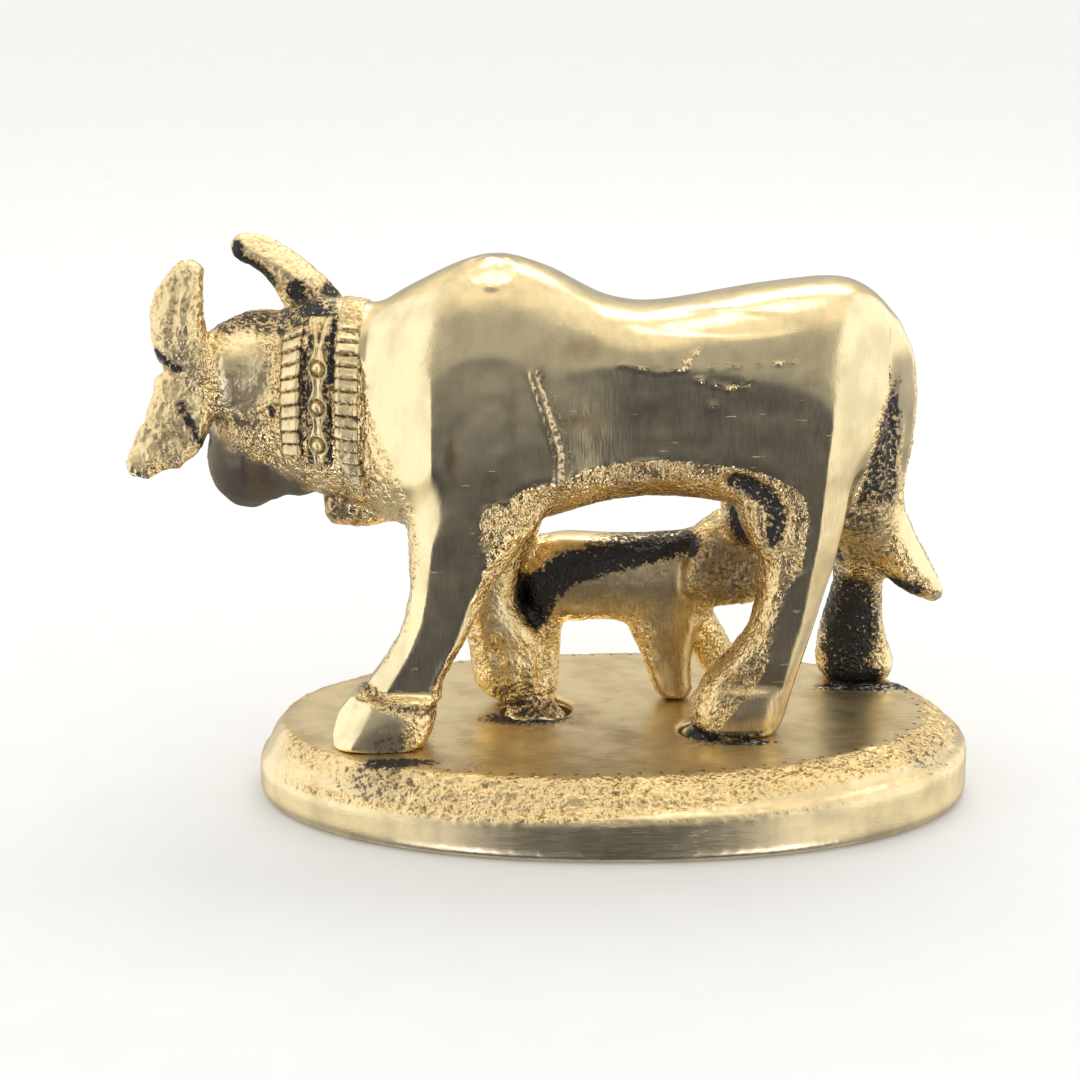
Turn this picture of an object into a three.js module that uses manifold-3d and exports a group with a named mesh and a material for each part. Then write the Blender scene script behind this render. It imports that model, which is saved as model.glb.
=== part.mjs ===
// Cow and calf: a small cast brass figure of a standing cow with her calf at the udder,
// on an oval stepped base. The cow and the calf are one casting. Two round spigots under
// her feet go down into holes in the base.
//
// Millimetres, +Z up. The origin is the middle of the base's flat underside. X runs along
// the cow, with her head at -X and her tail at +X, and -Y is her left side.

import * as THREE from "three";
import { mergeVertices } from "three/addons/utils/BufferGeometryUtils.js";
import Module from "manifold-3d";

const wasm = await Module();
wasm.setup();

// Driving dimensions
const BASE_TOP = 8.2; // height of the raised oval that the feet stand on
const PLATE_HEIGHT = 4.9; // height of the rim at mid-length
const PLATE_RISE = 0.022; // the rim is this much higher for each mm towards +X
const PLATE = { length: 77.4, width: 50.2, power: 2.16, x: 0, turn: 0 }; // outline of the rim
const OVAL = { length: 70.6, width: 42.8, power: 2.15, x: -0.65, turn: 0.082 }; // outline of the raised oval
const HOLE_RADIUS = 3.9;
const SPIGOT_RADIUS = 2.2;
const SPIGOT_END = 0.8; // the spigots stop this far above the underside

const HOLES = [
  { x: -7.9, y: 0.9 }, // under the far front foot
  { x: 11.4, y: -6.0 }, // under the toe of the near hind foot
];

const BRASS = new THREE.MeshStandardMaterial({
  color: new THREE.Color(0.72, 0.56, 0.29),
  roughness: 0.3,
  metalness: 1.0,
});

// The cow was cast to stand this much to one side of the base's middle.
const CASTING_SHIFT = -0.6;

// Turns rings of points, each the same number of points, into a closed mesh.
function skin(rings) {
  const count = rings[0].length;
  const points = rings.flat();
  const faces = [];
  for (let r = 0; r + 1 < rings.length; r++) {
    for (let i = 0; i < count; i++) {
      const a = r * count + i;
      const b = r * count + ((i + 1) % count);
      faces.push(a, b, b + count, a, b + count, a + count);
    }
  }
  for (const [start, flip] of [[0, true], [(rings.length - 1) * count, false]]) {
    const ring = points.slice(start, start + count);
    const middle = ring.reduce((sum, p) => sum.add(p), new THREE.Vector3()).divideScalar(count);
    points.push(middle);
    for (let i = 0; i < count; i++) {
      const a = start + i;
      const b = start + ((i + 1) % count);
      faces.push(...(flip ? [b, a, points.length - 1] : [a, b, points.length - 1]));
    }
  }
  const geometry = new THREE.BufferGeometry().setFromPoints(points);
  return geometry.setIndex(faces);
}

// A closed mesh as a manifold-3d solid, with its faces turned outwards.
function solid(geometry) {
  const bare = geometry.clone();
  bare.deleteAttribute("normal");
  bare.deleteAttribute("uv");
  const merged = mergeVertices(bare, 1e-4);
  const vertProperties = new Float32Array(merged.attributes.position.array);
  const triVerts = new Uint32Array(merged.index.array);
  let made = new wasm.Manifold(new wasm.Mesh({ numProp: 3, vertProperties, triVerts }));
  if (made.volume() < 0) {
    for (let i = 0; i < triVerts.length; i += 3) {
      [triVerts[i + 1], triVerts[i + 2]] = [triVerts[i + 2], triVerts[i + 1]];
    }
    made = new wasm.Manifold(new wasm.Mesh({ numProp: 3, vertProperties, triVerts }));
  }
  return made;
}

function geometryOf(manifold) {
  const mesh = manifold.getMesh();
  const geometry = new THREE.BufferGeometry();
  geometry.setAttribute("position", new THREE.BufferAttribute(mesh.vertProperties, mesh.numProp));
  geometry.setIndex(new THREE.BufferAttribute(mesh.triVerts, 1));
  return geometry.toNonIndexed();
}

// Runs a smooth Catmull-Rom line through rows of numbers, with some rows added in each gap.
function smoothRows(rows, steps) {
  const made = [];
  for (let i = 0; i + 1 < rows.length; i++) {
    const p0 = rows[Math.max(i - 1, 0)];
    const [p1, p2] = [rows[i], rows[i + 1]];
    const p3 = rows[Math.min(i + 2, rows.length - 1)];
    for (let s = 0; s < steps; s++) {
      const t = s / steps;
      made.push(
        p1.map((value, k) => {
          const slope = p2[k] - p0[k];
          const bend = 2 * p0[k] - 5 * value + 4 * p2[k] - p3[k];
          const twist = 3 * value - p0[k] - 3 * p2[k] + p3[k];
          return value + 0.5 * t * (slope + t * (bend + t * twist));
        }),
      );
    }
  }
  made.push(rows[rows.length - 1]);
  return made;
}

// A point of a superellipse outline. Power 2 is an ellipse, and more is squarer.
function outline(angle, power) {
  const part = (v) => Math.sign(v) * Math.pow(Math.abs(v), 2 / power);
  return [part(Math.cos(angle)), part(Math.sin(angle))];
}

// A form with upright sections across X. A station is
// [x, near y, far y, bottom z, top z, power, narrowing of the top].
function alongX(stations, { segments = 24, steps = 2 } = {}) {
  const rings = smoothRows(stations, steps).map(([x, y0, y1, z0, z1, power, narrow]) =>
    Array.from({ length: segments }, (_, i) => {
      const [u, v] = outline((i / segments) * 2 * Math.PI, power);
      const half = ((y1 - y0) / 2) * (1 - narrow * v);
      return new THREE.Vector3(x, (y0 + y1) / 2 + half * u, (z0 + z1) / 2 + ((z1 - z0) / 2) * v);
    }),
  );
  return solid(skin(rings));
}

// A form with level sections. A station is [z, front x, back x, near y, far y, power].
function alongZ(stations, { segments = 12, steps = 1 } = {}) {
  const rings = smoothRows(stations, steps).map(([z, x0, x1, y0, y1, power]) =>
    Array.from({ length: segments }, (_, i) => {
      const [u, v] = outline((i / segments) * 2 * Math.PI, power);
      return new THREE.Vector3((x0 + x1) / 2 + ((x1 - x0) / 2) * u, (y0 + y1) / 2 + ((y1 - y0) / 2) * v, z);
    }),
  );
  return solid(skin(rings));
}

// A tapered, flattened tube through stations [x, y, z, half width, half thickness], with a
// round tip. Its width lies across both the tube and the direction that it faces.
function blade(stations, facing, { segments = 10, steps = 1 } = {}) {
  const rows = smoothRows(stations, steps);
  const point = (row) => new THREE.Vector3(row[0], row[1], row[2]);
  const last = rows[rows.length - 1];
  const tipWay = point(last).sub(point(rows[rows.length - 2])).normalize();
  for (const angle of [0.6, 1.2]) {
    const end = point(last).addScaledVector(tipWay, last[3] * Math.sin(angle));
    rows.push([end.x, end.y, end.z, last[3] * Math.cos(angle), last[4] * Math.cos(angle)]);
  }
  const rings = rows.map((row, r) => {
    const before = point(rows[Math.max(r - 1, 0)]);
    const way = point(rows[Math.min(r + 1, rows.length - 1)]).sub(before).normalize();
    const side = new THREE.Vector3().crossVectors(facing, way).normalize();
    const normal = new THREE.Vector3().crossVectors(way, side);
    return Array.from({ length: segments }, (_, i) => {
      const angle = (i / segments) * 2 * Math.PI;
      return point(row)
        .addScaledVector(side, row[3] * Math.cos(angle))
        .addScaledVector(normal, row[4] * Math.sin(angle));
    });
  });
  return solid(skin(rings));
}

function ellipsoid(x, y, z, rx, ry, rz, segments = 8) {
  const ball = new THREE.SphereGeometry(1, segments, Math.round(segments * 0.6));
  return solid(ball.scale(rx, ry, rz).translate(x, y, z));
}

function joined(solids) {
  return solids.reduce((sum, next) => sum.add(next));
}

// The cow's barrel, from the chest to the rump.
function cowTrunk() {
  return alongX(
    [
      [-25.4, -6.2, 5.4, 31.6, 53.0, 2.3, 0.1],
      [-24.4, -7.6, 6.4, 30.8, 53.8, 2.3, 0.1],
      [-20.5, -9.8, 7.8, 29.6, 56.0, 2.5, 0.14],
      [-16.0, -10.6, 8.6, 29.6, 58.2, 2.6, 0.2],
      [-11.6, -10.7, 9.0, 30.0, 59.2, 2.6, 0.24],
      [-6.0, -10.3, 9.2, 31.2, 57.4, 2.6, 0.2],
      [-1.0, -9.9, 9.3, 32.7, 54.6, 2.7, 0.14],
      [4.0, -9.5, 9.5, 33.3, 53.7, 2.7, 0.1],
      [10.0, -9.2, 10.0, 32.9, 54.5, 2.7, 0.1],
      [16.0, -9.0, 10.6, 31.6, 55.5, 2.7, 0.12],
      [22.0, -8.7, 11.0, 31.0, 56.2, 2.6, 0.14],
      [25.6, -7.6, 10.6, 33.0, 56.0, 2.5, 0.14],
      [28.9, -5.2, 8.8, 36.5, 54.0, 2.2, 0.1],
      [30.9, -2.6, 6.2, 41.0, 51.0, 2.0, 0.0],
    ],
    { segments: 24 },
  );
}

// Stations of the neck, from the chest to the back of the head.
const NECK = [
  [-19.0, -7.2, 6.0, 31.2, 55.8, 2.2, 0.12],
  [-24.0, -6.9, 6.2, 31.2, 53.6, 2.3, 0.14],
  [-27.5, -6.4, 6.4, 32.0, 54.2, 2.3, 0.12],
  [-31.0, -5.6, 6.8, 33.0, 54.2, 2.3, 0.1],
  [-34.0, -4.6, 7.2, 33.8, 53.0, 2.2, 0.08],
  [-37.0, -3.0, 7.6, 36.0, 51.7, 2.1, 0.0],
  [-40.0, -0.8, 7.4, 38.6, 49.8, 2.0, 0.0],
];

// The neck's section at any x: [near y, far y, bottom z, top z, power, narrowing].
function neckAt(x) {
  const i = Math.max(0, Math.min(NECK.findIndex((row) => row[0] <= x) - 1, NECK.length - 2));
  const t = (x - NECK[i][0]) / (NECK[i + 1][0] - NECK[i][0]);
  return NECK[i].slice(1).map((value, k) => value + t * (NECK[i + 1][k + 1] - value));
}

// The middle and the width of each band round the neck. A ring turns with the neck, so x
// grows with y.
const BANDS = {
  collar: { x: -32.9, width: 2.3 },
  beads: { x: -29.8, width: 1.9 },
  breast: { x: -26.7, width: 2.3 },
};
const BAND_TURN = 0.14;
const NECK_MIDDLE = 0.6; // y of the ring's axis
const RING_SAMPLES = 240;
const BAND_RELIEF = 0.6;
const UNDER_SKIN = -0.5;

// The bands run out on the nape, at a quarter of the way round.
function atNape(share) {
  return Math.abs(share - 0.25) < 0.1;
}

// A closed ring of points round the neck, equally spaced, at one height over the skin each.
function neckRing(x, heights) {
  const samples = Array.from({ length: RING_SAMPLES + 1 }, (_, i) => {
    const [y0, y1, z0, z1, power, narrow] = neckAt(x);
    const [u, v] = outline((i / RING_SAMPLES) * 2 * Math.PI, power);
    const half = ((y1 - y0) / 2) * (1 - narrow * v);
    return new THREE.Vector2((y0 + y1) / 2 + half * u, (z0 + z1) / 2 + ((z1 - z0) / 2) * v);
  });
  const lengths = [0];
  samples.slice(1).forEach((p, i) => lengths.push(lengths[i] + p.distanceTo(samples[i])));
  const total = lengths[RING_SAMPLES];
  return heights.map((height, i) => {
    const wanted = ((i + 0.5) / heights.length) * total;
    const k = Math.max(1, lengths.findIndex((length) => length >= wanted));
    const t = (wanted - lengths[k - 1]) / (lengths[k] - lengths[k - 1]);
    const way = samples[k].clone().sub(samples[k - 1]).normalize();
    const p = samples[k - 1].clone().lerp(samples[k], t).add(new THREE.Vector2(way.y, -way.x).multiplyScalar(height));
    return new THREE.Vector3(x + BAND_TURN * (p.x - NECK_MIDDLE), p.x, p.y);
  });
}

// A band cut into blocks by narrow notches.
function notchedBand({ x, width }) {
  const blocks = 34;
  const heights = Array.from({ length: blocks * 3 }, (_, i) =>
    atNape(i / (blocks * 3)) ? UNDER_SKIN : i % 3 === 0 ? 0.15 : BAND_RELIEF,
  );
  return solid(skin([x - width / 2, x + width / 2].map((edge) => neckRing(edge, heights))));
}

// A plain ribbon with round studs along it.
function studdedBand({ x, width }) {
  const ribbon = Array.from({ length: 22 }, (_, i) => (atNape(i / 22) ? UNDER_SKIN : 0.3));
  const studs = neckRing(x, Array.from({ length: 14 }, () => 0.1)).filter((_, i) => !atNape(i / 14));
  return joined([
    solid(skin([x - width / 2, x + width / 2].map((edge) => neckRing(edge, ribbon)))),
    ...studs.map((p) => ellipsoid(p.x, p.y, p.z, 0.95, 0.85, 0.95, 6)),
  ]);
}

function cowNeck() {
  return joined([
    alongX(NECK, { segments: 22, steps: 1 }),
    notchedBand(BANDS.collar),
    studdedBand(BANDS.beads),
    notchedBand(BANDS.breast),
    bell(),
  ]);
}

// The bell under the throat, cast against the chest.
function bell() {
  return alongX(
    [
      [-30.6, -1.6, 2.2, 30.8, 34.0, 2.3, 0.0],
      [-29.8, -2.6, 3.0, 29.6, 36.0, 2.6, 0.0],
      [-27.0, -3.0, 3.0, 29.3, 38.0, 2.8, 0.0],
      [-24.6, -3.2, 2.8, 29.7, 38.0, 2.6, 0.0],
      [-22.0, -3.0, 2.4, 30.0, 38.0, 2.4, 0.0],
    ],
    { segments: 16, steps: 1 },
  );
}

// The head's own frame: x down the face to the muzzle, y to her left, z out of the brow.
const HEAD_PLACE = new THREE.Vector3(-39.2, 3.0, 46.3);
const FACE_WAY = new THREE.Vector3(-0.06, 0.62, -0.78).normalize();
const HEAD_LEFT = new THREE.Vector3(-0.81, -0.46, -0.36).normalize();
const BROW_WAY = new THREE.Vector3().crossVectors(FACE_WAY, HEAD_LEFT).normalize();
HEAD_LEFT.crossVectors(BROW_WAY, FACE_WAY);
const HEAD_FRAME = new THREE.Matrix4()
  .makeBasis(FACE_WAY, HEAD_LEFT, BROW_WAY)
  .setPosition(HEAD_PLACE);

function cowHead() {
  const skull = alongX(
    [
      [-6.2, -3.4, 3.4, -3.6, 1.4, 2.2, 0.0],
      [-5.0, -5.6, 5.6, -4.8, 2.8, 2.3, 0.0],
      [-1.5, -6.2, 6.2, -6.2, 4.2, 2.3, 0.08],
      [2.5, -6.1, 6.1, -6.6, 4.6, 2.3, 0.1],
      [6.5, -5.4, 5.4, -6.4, 4.2, 2.3, 0.1],
      [10.5, -4.6, 4.6, -5.8, 3.4, 2.3, 0.1],
      [14.0, -4.9, 4.9, -5.6, 3.2, 2.4, 0.06],
      [17.0, -4.6, 4.6, -4.9, 2.9, 2.4, 0.0],
      [18.8, -3.0, 3.0, -3.6, 1.9, 2.2, 0.0],
      [19.5, -1.4, 1.4, -2.2, 0.6, 2.0, 0.0],
    ],
    { segments: 16, steps: 1 },
  );
  const eyes = [-1, 1].map((side) => ellipsoid(4.0, side * 5.0, 1.6, 1.5, 1.0, 1.1));
  const nostrils = [-1, 1].map((side) => ellipsoid(18.4, side * 1.9, 1.9, 0.8, 0.55, 0.7, 6));
  const throat = ellipsoid(7.5, 2.6, -5.4, 8.2, 5.0, 4.6, 12);
  const mouth = solid(new THREE.CylinderGeometry(5.2, 5.2, 0.5, 16).rotateX(Math.PI / 2).translate(16.6, 0, -2.2))
    .subtract(solid(new THREE.CylinderGeometry(4.1, 4.1, 0.8, 16).rotateX(Math.PI / 2).translate(14.9, 0, -2.2)));
  const face = joined([skull, throat, ...eyes]).subtract(joined(nostrils)).subtract(mouth);
  return face.transform([...HEAD_FRAME.elements]);
}

// A point given in the head's frame, in the figure's frame.
function onHead(x, y, z) {
  return new THREE.Vector3(x, y, z).applyMatrix4(HEAD_FRAME).toArray();
}

function horns() {
  const left = [
    [-43.4, -0.8, 46.0, 2.8, 2.2],
    [-45.0, -1.4, 48.8, 3.1, 2.3],
    [-45.7, -1.8, 51.9, 3.0, 2.1],
    [-45.3, -1.6, 54.7, 2.7, 1.9],
    [-44.4, -1.2, 56.8, 1.8, 1.6],
  ];
  const right = [
    [-30.8, 4.2, 51.4, 3.2, 3.4],
    [-32.6, 4.4, 54.0, 2.8, 3.0],
    [-34.6, 4.6, 56.4, 2.2, 2.5],
    [-37.0, 4.7, 58.2, 1.9, 2.1],
    [-38.8, 4.6, 58.8, 1.7, 1.8],
  ];
  const facing = new THREE.Vector3(0, 1, 0);
  return joined([left, right].map((stations) => blade(stations, facing, { steps: 2 })));
}

// Each ear is a broad leaf that droops from below the horn, with its back turned up.
function ears() {
  const leaf = (side) =>
    blade(
      [
        [...onHead(-1.0, side * 5.2, 0.0), 3.2, 2.2],
        [...onHead(-0.2, side * 8.3, -0.8), 4.2, 1.7],
        [...onHead(1.6, side * 10.8, -1.8), 4.4, 1.5],
        [...onHead(2.7, side * 12.9, -2.3), 3.9, 1.3],
        [...onHead(3.1, side * 14.2, -2.5), 2.7, 1.1],
      ],
      FACE_WAY.clone().addScaledVector(HEAD_LEFT, -0.9 * side).addScaledVector(BROW_WAY, 0.9),
      { segments: 8 },
    );
  return joined([leaf(1), leaf(-1)]);
}

// Legs of the cow, each from inside her body down to the hoof.
function cowLegs() {
  const nearFront = alongZ([
    [45.0, -19.5, -8.0, -9.4, -2.0, 2.2],
    [38.0, -21.4, -6.2, -10.7, -1.5, 2.4],
    [32.5, -21.7, -6.4, -11.1, -1.5, 2.5],
    [28.3, -21.3, -9.8, -11.3, -2.4, 2.7],
    [23.9, -21.2, -12.9, -11.4, -3.2, 2.8],
    [19.5, -22.3, -15.0, -11.6, -4.2, 2.8],
    [16.2, -24.5, -16.8, -12.0, -4.9, 2.7],
    [14.3, -26.0, -17.8, -12.3, -5.2, 2.6],
    [13.6, -27.2, -17.6, -13.2, -5.1, 2.8],
    [11.0, -29.2, -18.4, -14.3, -5.2, 2.8],
    [9.2, -30.0, -18.9, -15.2, -5.4, 3.0],
    [BASE_TOP, -29.3, -19.8, -14.9, -6.0, 3.0],
  ]);
  const farFront = alongZ([
    [36.0, -17.0, -6.0, -1.0, 7.6, 2.3],
    [29.0, -17.0, -7.0, -1.2, 7.8, 2.4],
    [24.0, -16.6, -9.2, -1.0, 7.4, 2.5],
    [20.5, -16.2, -9.9, -1.0, 7.0, 2.5],
    [17.5, -15.7, -8.4, -1.4, 7.2, 2.4],
    [14.0, -15.1, -6.1, -1.8, 7.6, 2.5],
    [11.0, -14.7, -5.5, -1.8, 7.6, 2.5],
    [9.6, -13.6, -6.0, -1.2, 7.0, 2.3],
    [9.0, -12.0, -6.8, -0.4, 6.0, 2.2],
  ]);
  const nearHind = alongZ([
    [47.0, 15.0, 29.0, -7.8, 1.0, 2.2],
    [40.0, 13.2, 27.6, -9.0, 1.5, 2.4],
    [34.5, 12.6, 25.9, -9.3, 1.5, 2.5],
    [30.6, 13.8, 25.1, -9.3, 0.6, 2.7],
    [27.0, 16.0, 24.1, -9.2, -0.8, 2.8],
    [23.2, 15.7, 22.8, -9.2, -2.2, 2.8],
    [19.5, 14.8, 21.7, -9.3, -2.8, 2.8],
    [17.0, 12.7, 20.9, -9.6, -3.0, 2.7],
    [14.0, 9.9, 20.0, -10.0, -3.0, 2.7],
    [11.0, 8.4, 19.2, -10.4, -3.0, 2.7],
    [9.3, 8.7, 18.6, -10.4, -3.2, 2.6],
    [BASE_TOP, 10.4, 17.9, -10.0, -3.6, 2.4],
  ]);
  const farHind = alongZ([
    [44.0, 18.0, 29.6, 2.0, 10.6, 2.2],
    [37.0, 20.0, 30.6, 3.4, 12.0, 2.4],
    [30.0, 23.0, 31.4, 5.0, 12.8, 2.5],
    [25.0, 25.4, 31.4, 6.8, 13.4, 2.6],
    [20.0, 25.6, 31.1, 8.2, 14.2, 2.6],
    [16.5, 24.7, 31.2, 9.0, 14.8, 2.6],
    [13.0, 23.9, 31.8, 9.2, 15.4, 2.6],
    [10.4, 23.8, 32.8, 9.2, 15.8, 2.6],
    [9.0, 24.1, 32.8, 9.3, 15.7, 2.5],
    [BASE_TOP, 25.2, 31.9, 9.8, 15.2, 2.4],
  ]);
  return joined([nearFront, farFront, nearHind, farHind]);
}

// The thigh web under the tail, and the udder between the hind legs.
function underRump() {
  const web = alongZ([
    [52.0, 24.0, 29.2, -1.0, 5.0, 2.2],
    [49.0, 22.0, 30.6, -3.4, 6.4, 2.3],
    [43.0, 20.0, 32.0, -4.4, 8.0, 2.4],
    [36.0, 20.0, 31.6, -4.4, 9.5, 2.5],
    [30.0, 21.6, 31.4, -2.6, 10.4, 2.5],
    [26.0, 24.2, 32.2, 1.2, 11.0, 2.4],
    [21.0, 26.6, 31.6, 6.8, 12.6, 2.3],
  ]);
  return joined([web, ellipsoid(17.0, 1.6, 30.6, 5.0, 5.4, 4.6, 12)]);
}

function cowTail() {
  const hanging = [
    [27.6, 1.8, 53.2, 1.6, 1.5],
    [29.6, 1.8, 50.8, 2.0, 1.6],
    [31.1, 1.9, 47.6, 2.1, 1.6],
    [31.5, 2.0, 43.0, 2.1, 1.7],
    [31.1, 2.3, 38.0, 2.0, 1.8],
    [30.3, 3.0, 33.5, 2.0, 1.9],
    [29.9, 4.0, 29.8, 2.7, 2.6],
    [31.2, 4.8, 25.8, 3.6, 3.0],
    [33.8, 5.2, 22.4, 2.7, 2.3],
    [36.0, 5.4, 20.4, 1.3, 1.3],
  ];
  return blade(hanging, new THREE.Vector3(1, 0, 0));
}

// The calf stands under the belly and lifts her head to the udder.
function calf() {
  const body = alongX(
    [
      [-8.9, 3.6, 8.6, 19.6, 25.0, 2.2, 0.0],
      [-7.9, 2.6, 9.6, 16.6, 26.5, 2.5, 0.0],
      [-4.5, 2.3, 9.9, 16.9, 27.0, 2.7, 0.04],
      [0.0, 2.2, 9.8, 17.2, 26.8, 2.7, 0.04],
      [4.5, 2.2, 9.8, 16.3, 26.8, 2.6, 0.04],
      [8.5, 2.4, 9.6, 16.4, 27.2, 2.4, 0.04],
      [12.0, 2.4, 9.2, 18.6, 28.6, 2.3, 0.06],
      [15.0, 1.8, 8.4, 19.0, 29.4, 2.3, 0.06],
      [18.0, 1.6, 7.4, 20.0, 28.2, 2.3, 0.0],
      [20.0, 2.4, 6.4, 21.4, 26.4, 2.2, 0.0],
    ],
    { segments: 16, steps: 1 },
  );
  const legs = [
    [
      [21.0, 1.6, 10.8, 2.2, 7.4, 2.4],
      [17.2, 1.8, 10.6, 2.4, 7.0, 2.4],
      [14.0, 3.4, 9.6, 2.7, 6.6, 2.5],
      [10.8, 4.6, 9.4, 2.8, 6.6, 2.5],
      [9.2, 5.2, 9.6, 2.8, 6.6, 2.4],
      [BASE_TOP, 6.3, 9.1, 3.3, 5.9, 2.3],
    ],
    [
      [20.5, 5.6, 11.4, 4.8, 9.2, 2.4],
      [17.0, 6.4, 12.2, 5.0, 9.4, 2.4],
      [13.6, 8.6, 14.2, 5.4, 9.4, 2.5],
      [10.6, 10.8, 16.0, 5.6, 9.2, 2.5],
      [BASE_TOP, 11.6, 15.6, 6.0, 9.0, 2.3],
    ],
    [
      [20.5, -9.0, -3.4, 3.0, 6.6, 2.4],
      [17.0, -8.8, -4.9, 3.2, 6.4, 2.4],
      [12.5, -8.8, -5.2, 3.4, 6.4, 2.4],
      [BASE_TOP, -8.4, -5.4, 3.8, 6.2, 2.3],
    ],
    [
      [20.5, -9.2, -4.4, 6.0, 9.6, 2.4],
      [16.5, -9.6, -5.8, 6.2, 9.6, 2.4],
      [12.5, -10.6, -7.2, 6.4, 9.6, 2.4],
      [BASE_TOP, -10.6, -7.4, 6.6, 9.4, 2.3],
    ],
  ].map((stations) => alongZ(stations, { segments: 8 }));
  const ear = (y, out) =>
    blade(
      [
        [13.6, y, 28.2, 1.2, 1.6],
        [11.6, y + 0.7 * out, 26.0, 1.1, 2.3],
        [10.0, y + 1.0 * out, 23.4, 1.0, 2.0],
        [9.2, y + 0.9 * out, 21.4, 0.8, 1.1],
      ],
      new THREE.Vector3(1, 0, 0),
      { segments: 8 },
    );
  const tail = blade(
    [
      [-8.4, 6.2, 25.6, 1.0, 1.0],
      [-9.4, 6.4, 22.4, 0.9, 0.9],
      [-9.8, 6.6, 17.8, 1.1, 1.0],
    ],
    new THREE.Vector3(1, 0, 0),
    { segments: 8 },
  );
  return joined([body, ...legs, ear(2.9, -1), ear(8.3, 1), tail]);
}

function cylinder(radius, z0, z1, x, y, segments = 24) {
  const round = new THREE.CylinderGeometry(radius, radius, z1 - z0, segments);
  return solid(round.rotateX(Math.PI / 2).translate(x, y, (z0 + z1) / 2));
}

// The spigots come down from the far front foot and the near hind toe.
function spigots() {
  const tops = [11.0, 10.6];
  return joined(HOLES.map(({ x, y }, i) => cylinder(SPIGOT_RADIUS, SPIGOT_END, tops[i], x, y, 16)));
}

function castingSolid() {
  const parts = [cowTrunk(), cowNeck(), cowHead(), horns(), ears(), cowLegs(), underRump(), cowTail()];
  return joined([...parts, calf(), spigots()]).translate(CASTING_SHIFT, 0, 0);
}

// A ring of the base, whose outline lies between the rim (share 0) and the oval (share 1).
function baseRing(share, height, rise, inset = 0, segments = 48) {
  const [a, b, power, middle, turn] = ["length", "width", "power", "x", "turn"].map(
    (key) => PLATE[key] + share * (OVAL[key] - PLATE[key]),
  );
  return Array.from({ length: segments }, (_, i) => {
    const [u, v] = outline((i / segments) * 2 * Math.PI, power);
    const along = (a / 2 - inset) * u;
    const across = (b / 2 - inset) * v;
    const x = middle + along * Math.cos(turn) - across * Math.sin(turn);
    const y = along * Math.sin(turn) + across * Math.cos(turn);
    return new THREE.Vector3(x, y, height + rise * x);
  });
}

// The base: a low plate with a ledge and a sloping step up to the raised oval.
function baseSolid() {
  const step = BASE_TOP - PLATE_HEIGHT;
  const body = skin([
    baseRing(0, 0, 0, 0.6),
    baseRing(0, 0.7, 0),
    baseRing(0, PLATE_HEIGHT - 0.4, PLATE_RISE),
    baseRing(0, PLATE_HEIGHT, PLATE_RISE, 0.35),
    baseRing(0.2, PLATE_HEIGHT + 0.1, PLATE_RISE),
    baseRing(0.55, PLATE_HEIGHT + step * 0.6, PLATE_RISE * 0.5),
    baseRing(0.92, BASE_TOP - 0.25, 0),
    baseRing(1, BASE_TOP, 0),
  ]);
  const holes = HOLES.map(({ x, y }) => cylinder(HOLE_RADIUS, -1, BASE_TOP + 1, x + CASTING_SHIFT, y));
  return solid(body).subtract(joined(holes));
}

const figure = new THREE.Group();
for (const [name, made] of [["base", baseSolid()], ["cow_and_calf", castingSolid()]]) {
  const mesh = new THREE.Mesh(geometryOf(made), BRASS.clone());
  mesh.name = name;
  figure.add(mesh);
}

export default figure;
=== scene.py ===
"""Looks of the cast brass cow and calf on its oval base.

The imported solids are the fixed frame. Each piece here starts from a CAD node: it is remeshed
finely, smoothed, filed flat where the real casting was filed, and given its casting grain.
Sizes are in millimetres, on the frame's axes, and go to metres only where a mesh is written.
-X is the cow's head, -Y is her left side, which the camera sees, and +Z is up.
"""

import math
from contextlib import contextmanager

import bmesh
import bpy
import numpy as np
from mathutils import Matrix, Vector, noise


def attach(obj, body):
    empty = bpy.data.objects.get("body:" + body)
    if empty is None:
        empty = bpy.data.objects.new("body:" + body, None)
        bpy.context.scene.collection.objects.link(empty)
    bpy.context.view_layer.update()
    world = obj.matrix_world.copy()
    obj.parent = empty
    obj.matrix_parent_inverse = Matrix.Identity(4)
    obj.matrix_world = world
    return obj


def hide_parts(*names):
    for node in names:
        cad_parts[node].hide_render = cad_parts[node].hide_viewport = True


MM = 0.001

# Camera, as read from the ellipses of the base in the photograph
CAMERA_TARGET = (-8.0, -1.35, 28.0)
CAMERA_DISTANCE = 320.0
CAMERA_PITCH = 15.2  # degrees down
CAMERA_LENS = 99.1
SENSOR = 36.0

# Size of a remeshing cell of each piece
BODY_CELL = 0.37
HEAD_CELL = 0.22
BASE_CELL = 0.32

# The head and the body are two meshes, which meet under the widest band on the neck
SEAM_X = -27.3
SEAM_TURN = 0.14
SEAM_OVERLAP = 2.2
SEAM_TUCK = 0.35
# The head's mesh leaves out what lies below this height, which is the tip of a hoof
HEAD_LOWEST = 25.0
# How far the notch between the jaw and the throat is filled downwards
JAW_FILL = 1.7
# The least reach of the head's smoothing, and where it is more, as (reach, centre, radii)
HEAD_REACH = 0.62
HEAD_SMOOTHING = (
    (1.7, (-36.2, -2.5, 38.4), (3.2, 3.0, 4.6)),
    (2.3, (-35.6, 1.0, 34.0), (3.0, 4.5, 3.0)),
    (1.9, (-39.4, -4.5, 46.6), (4.0, 4.0, 6.4)),
)

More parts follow.
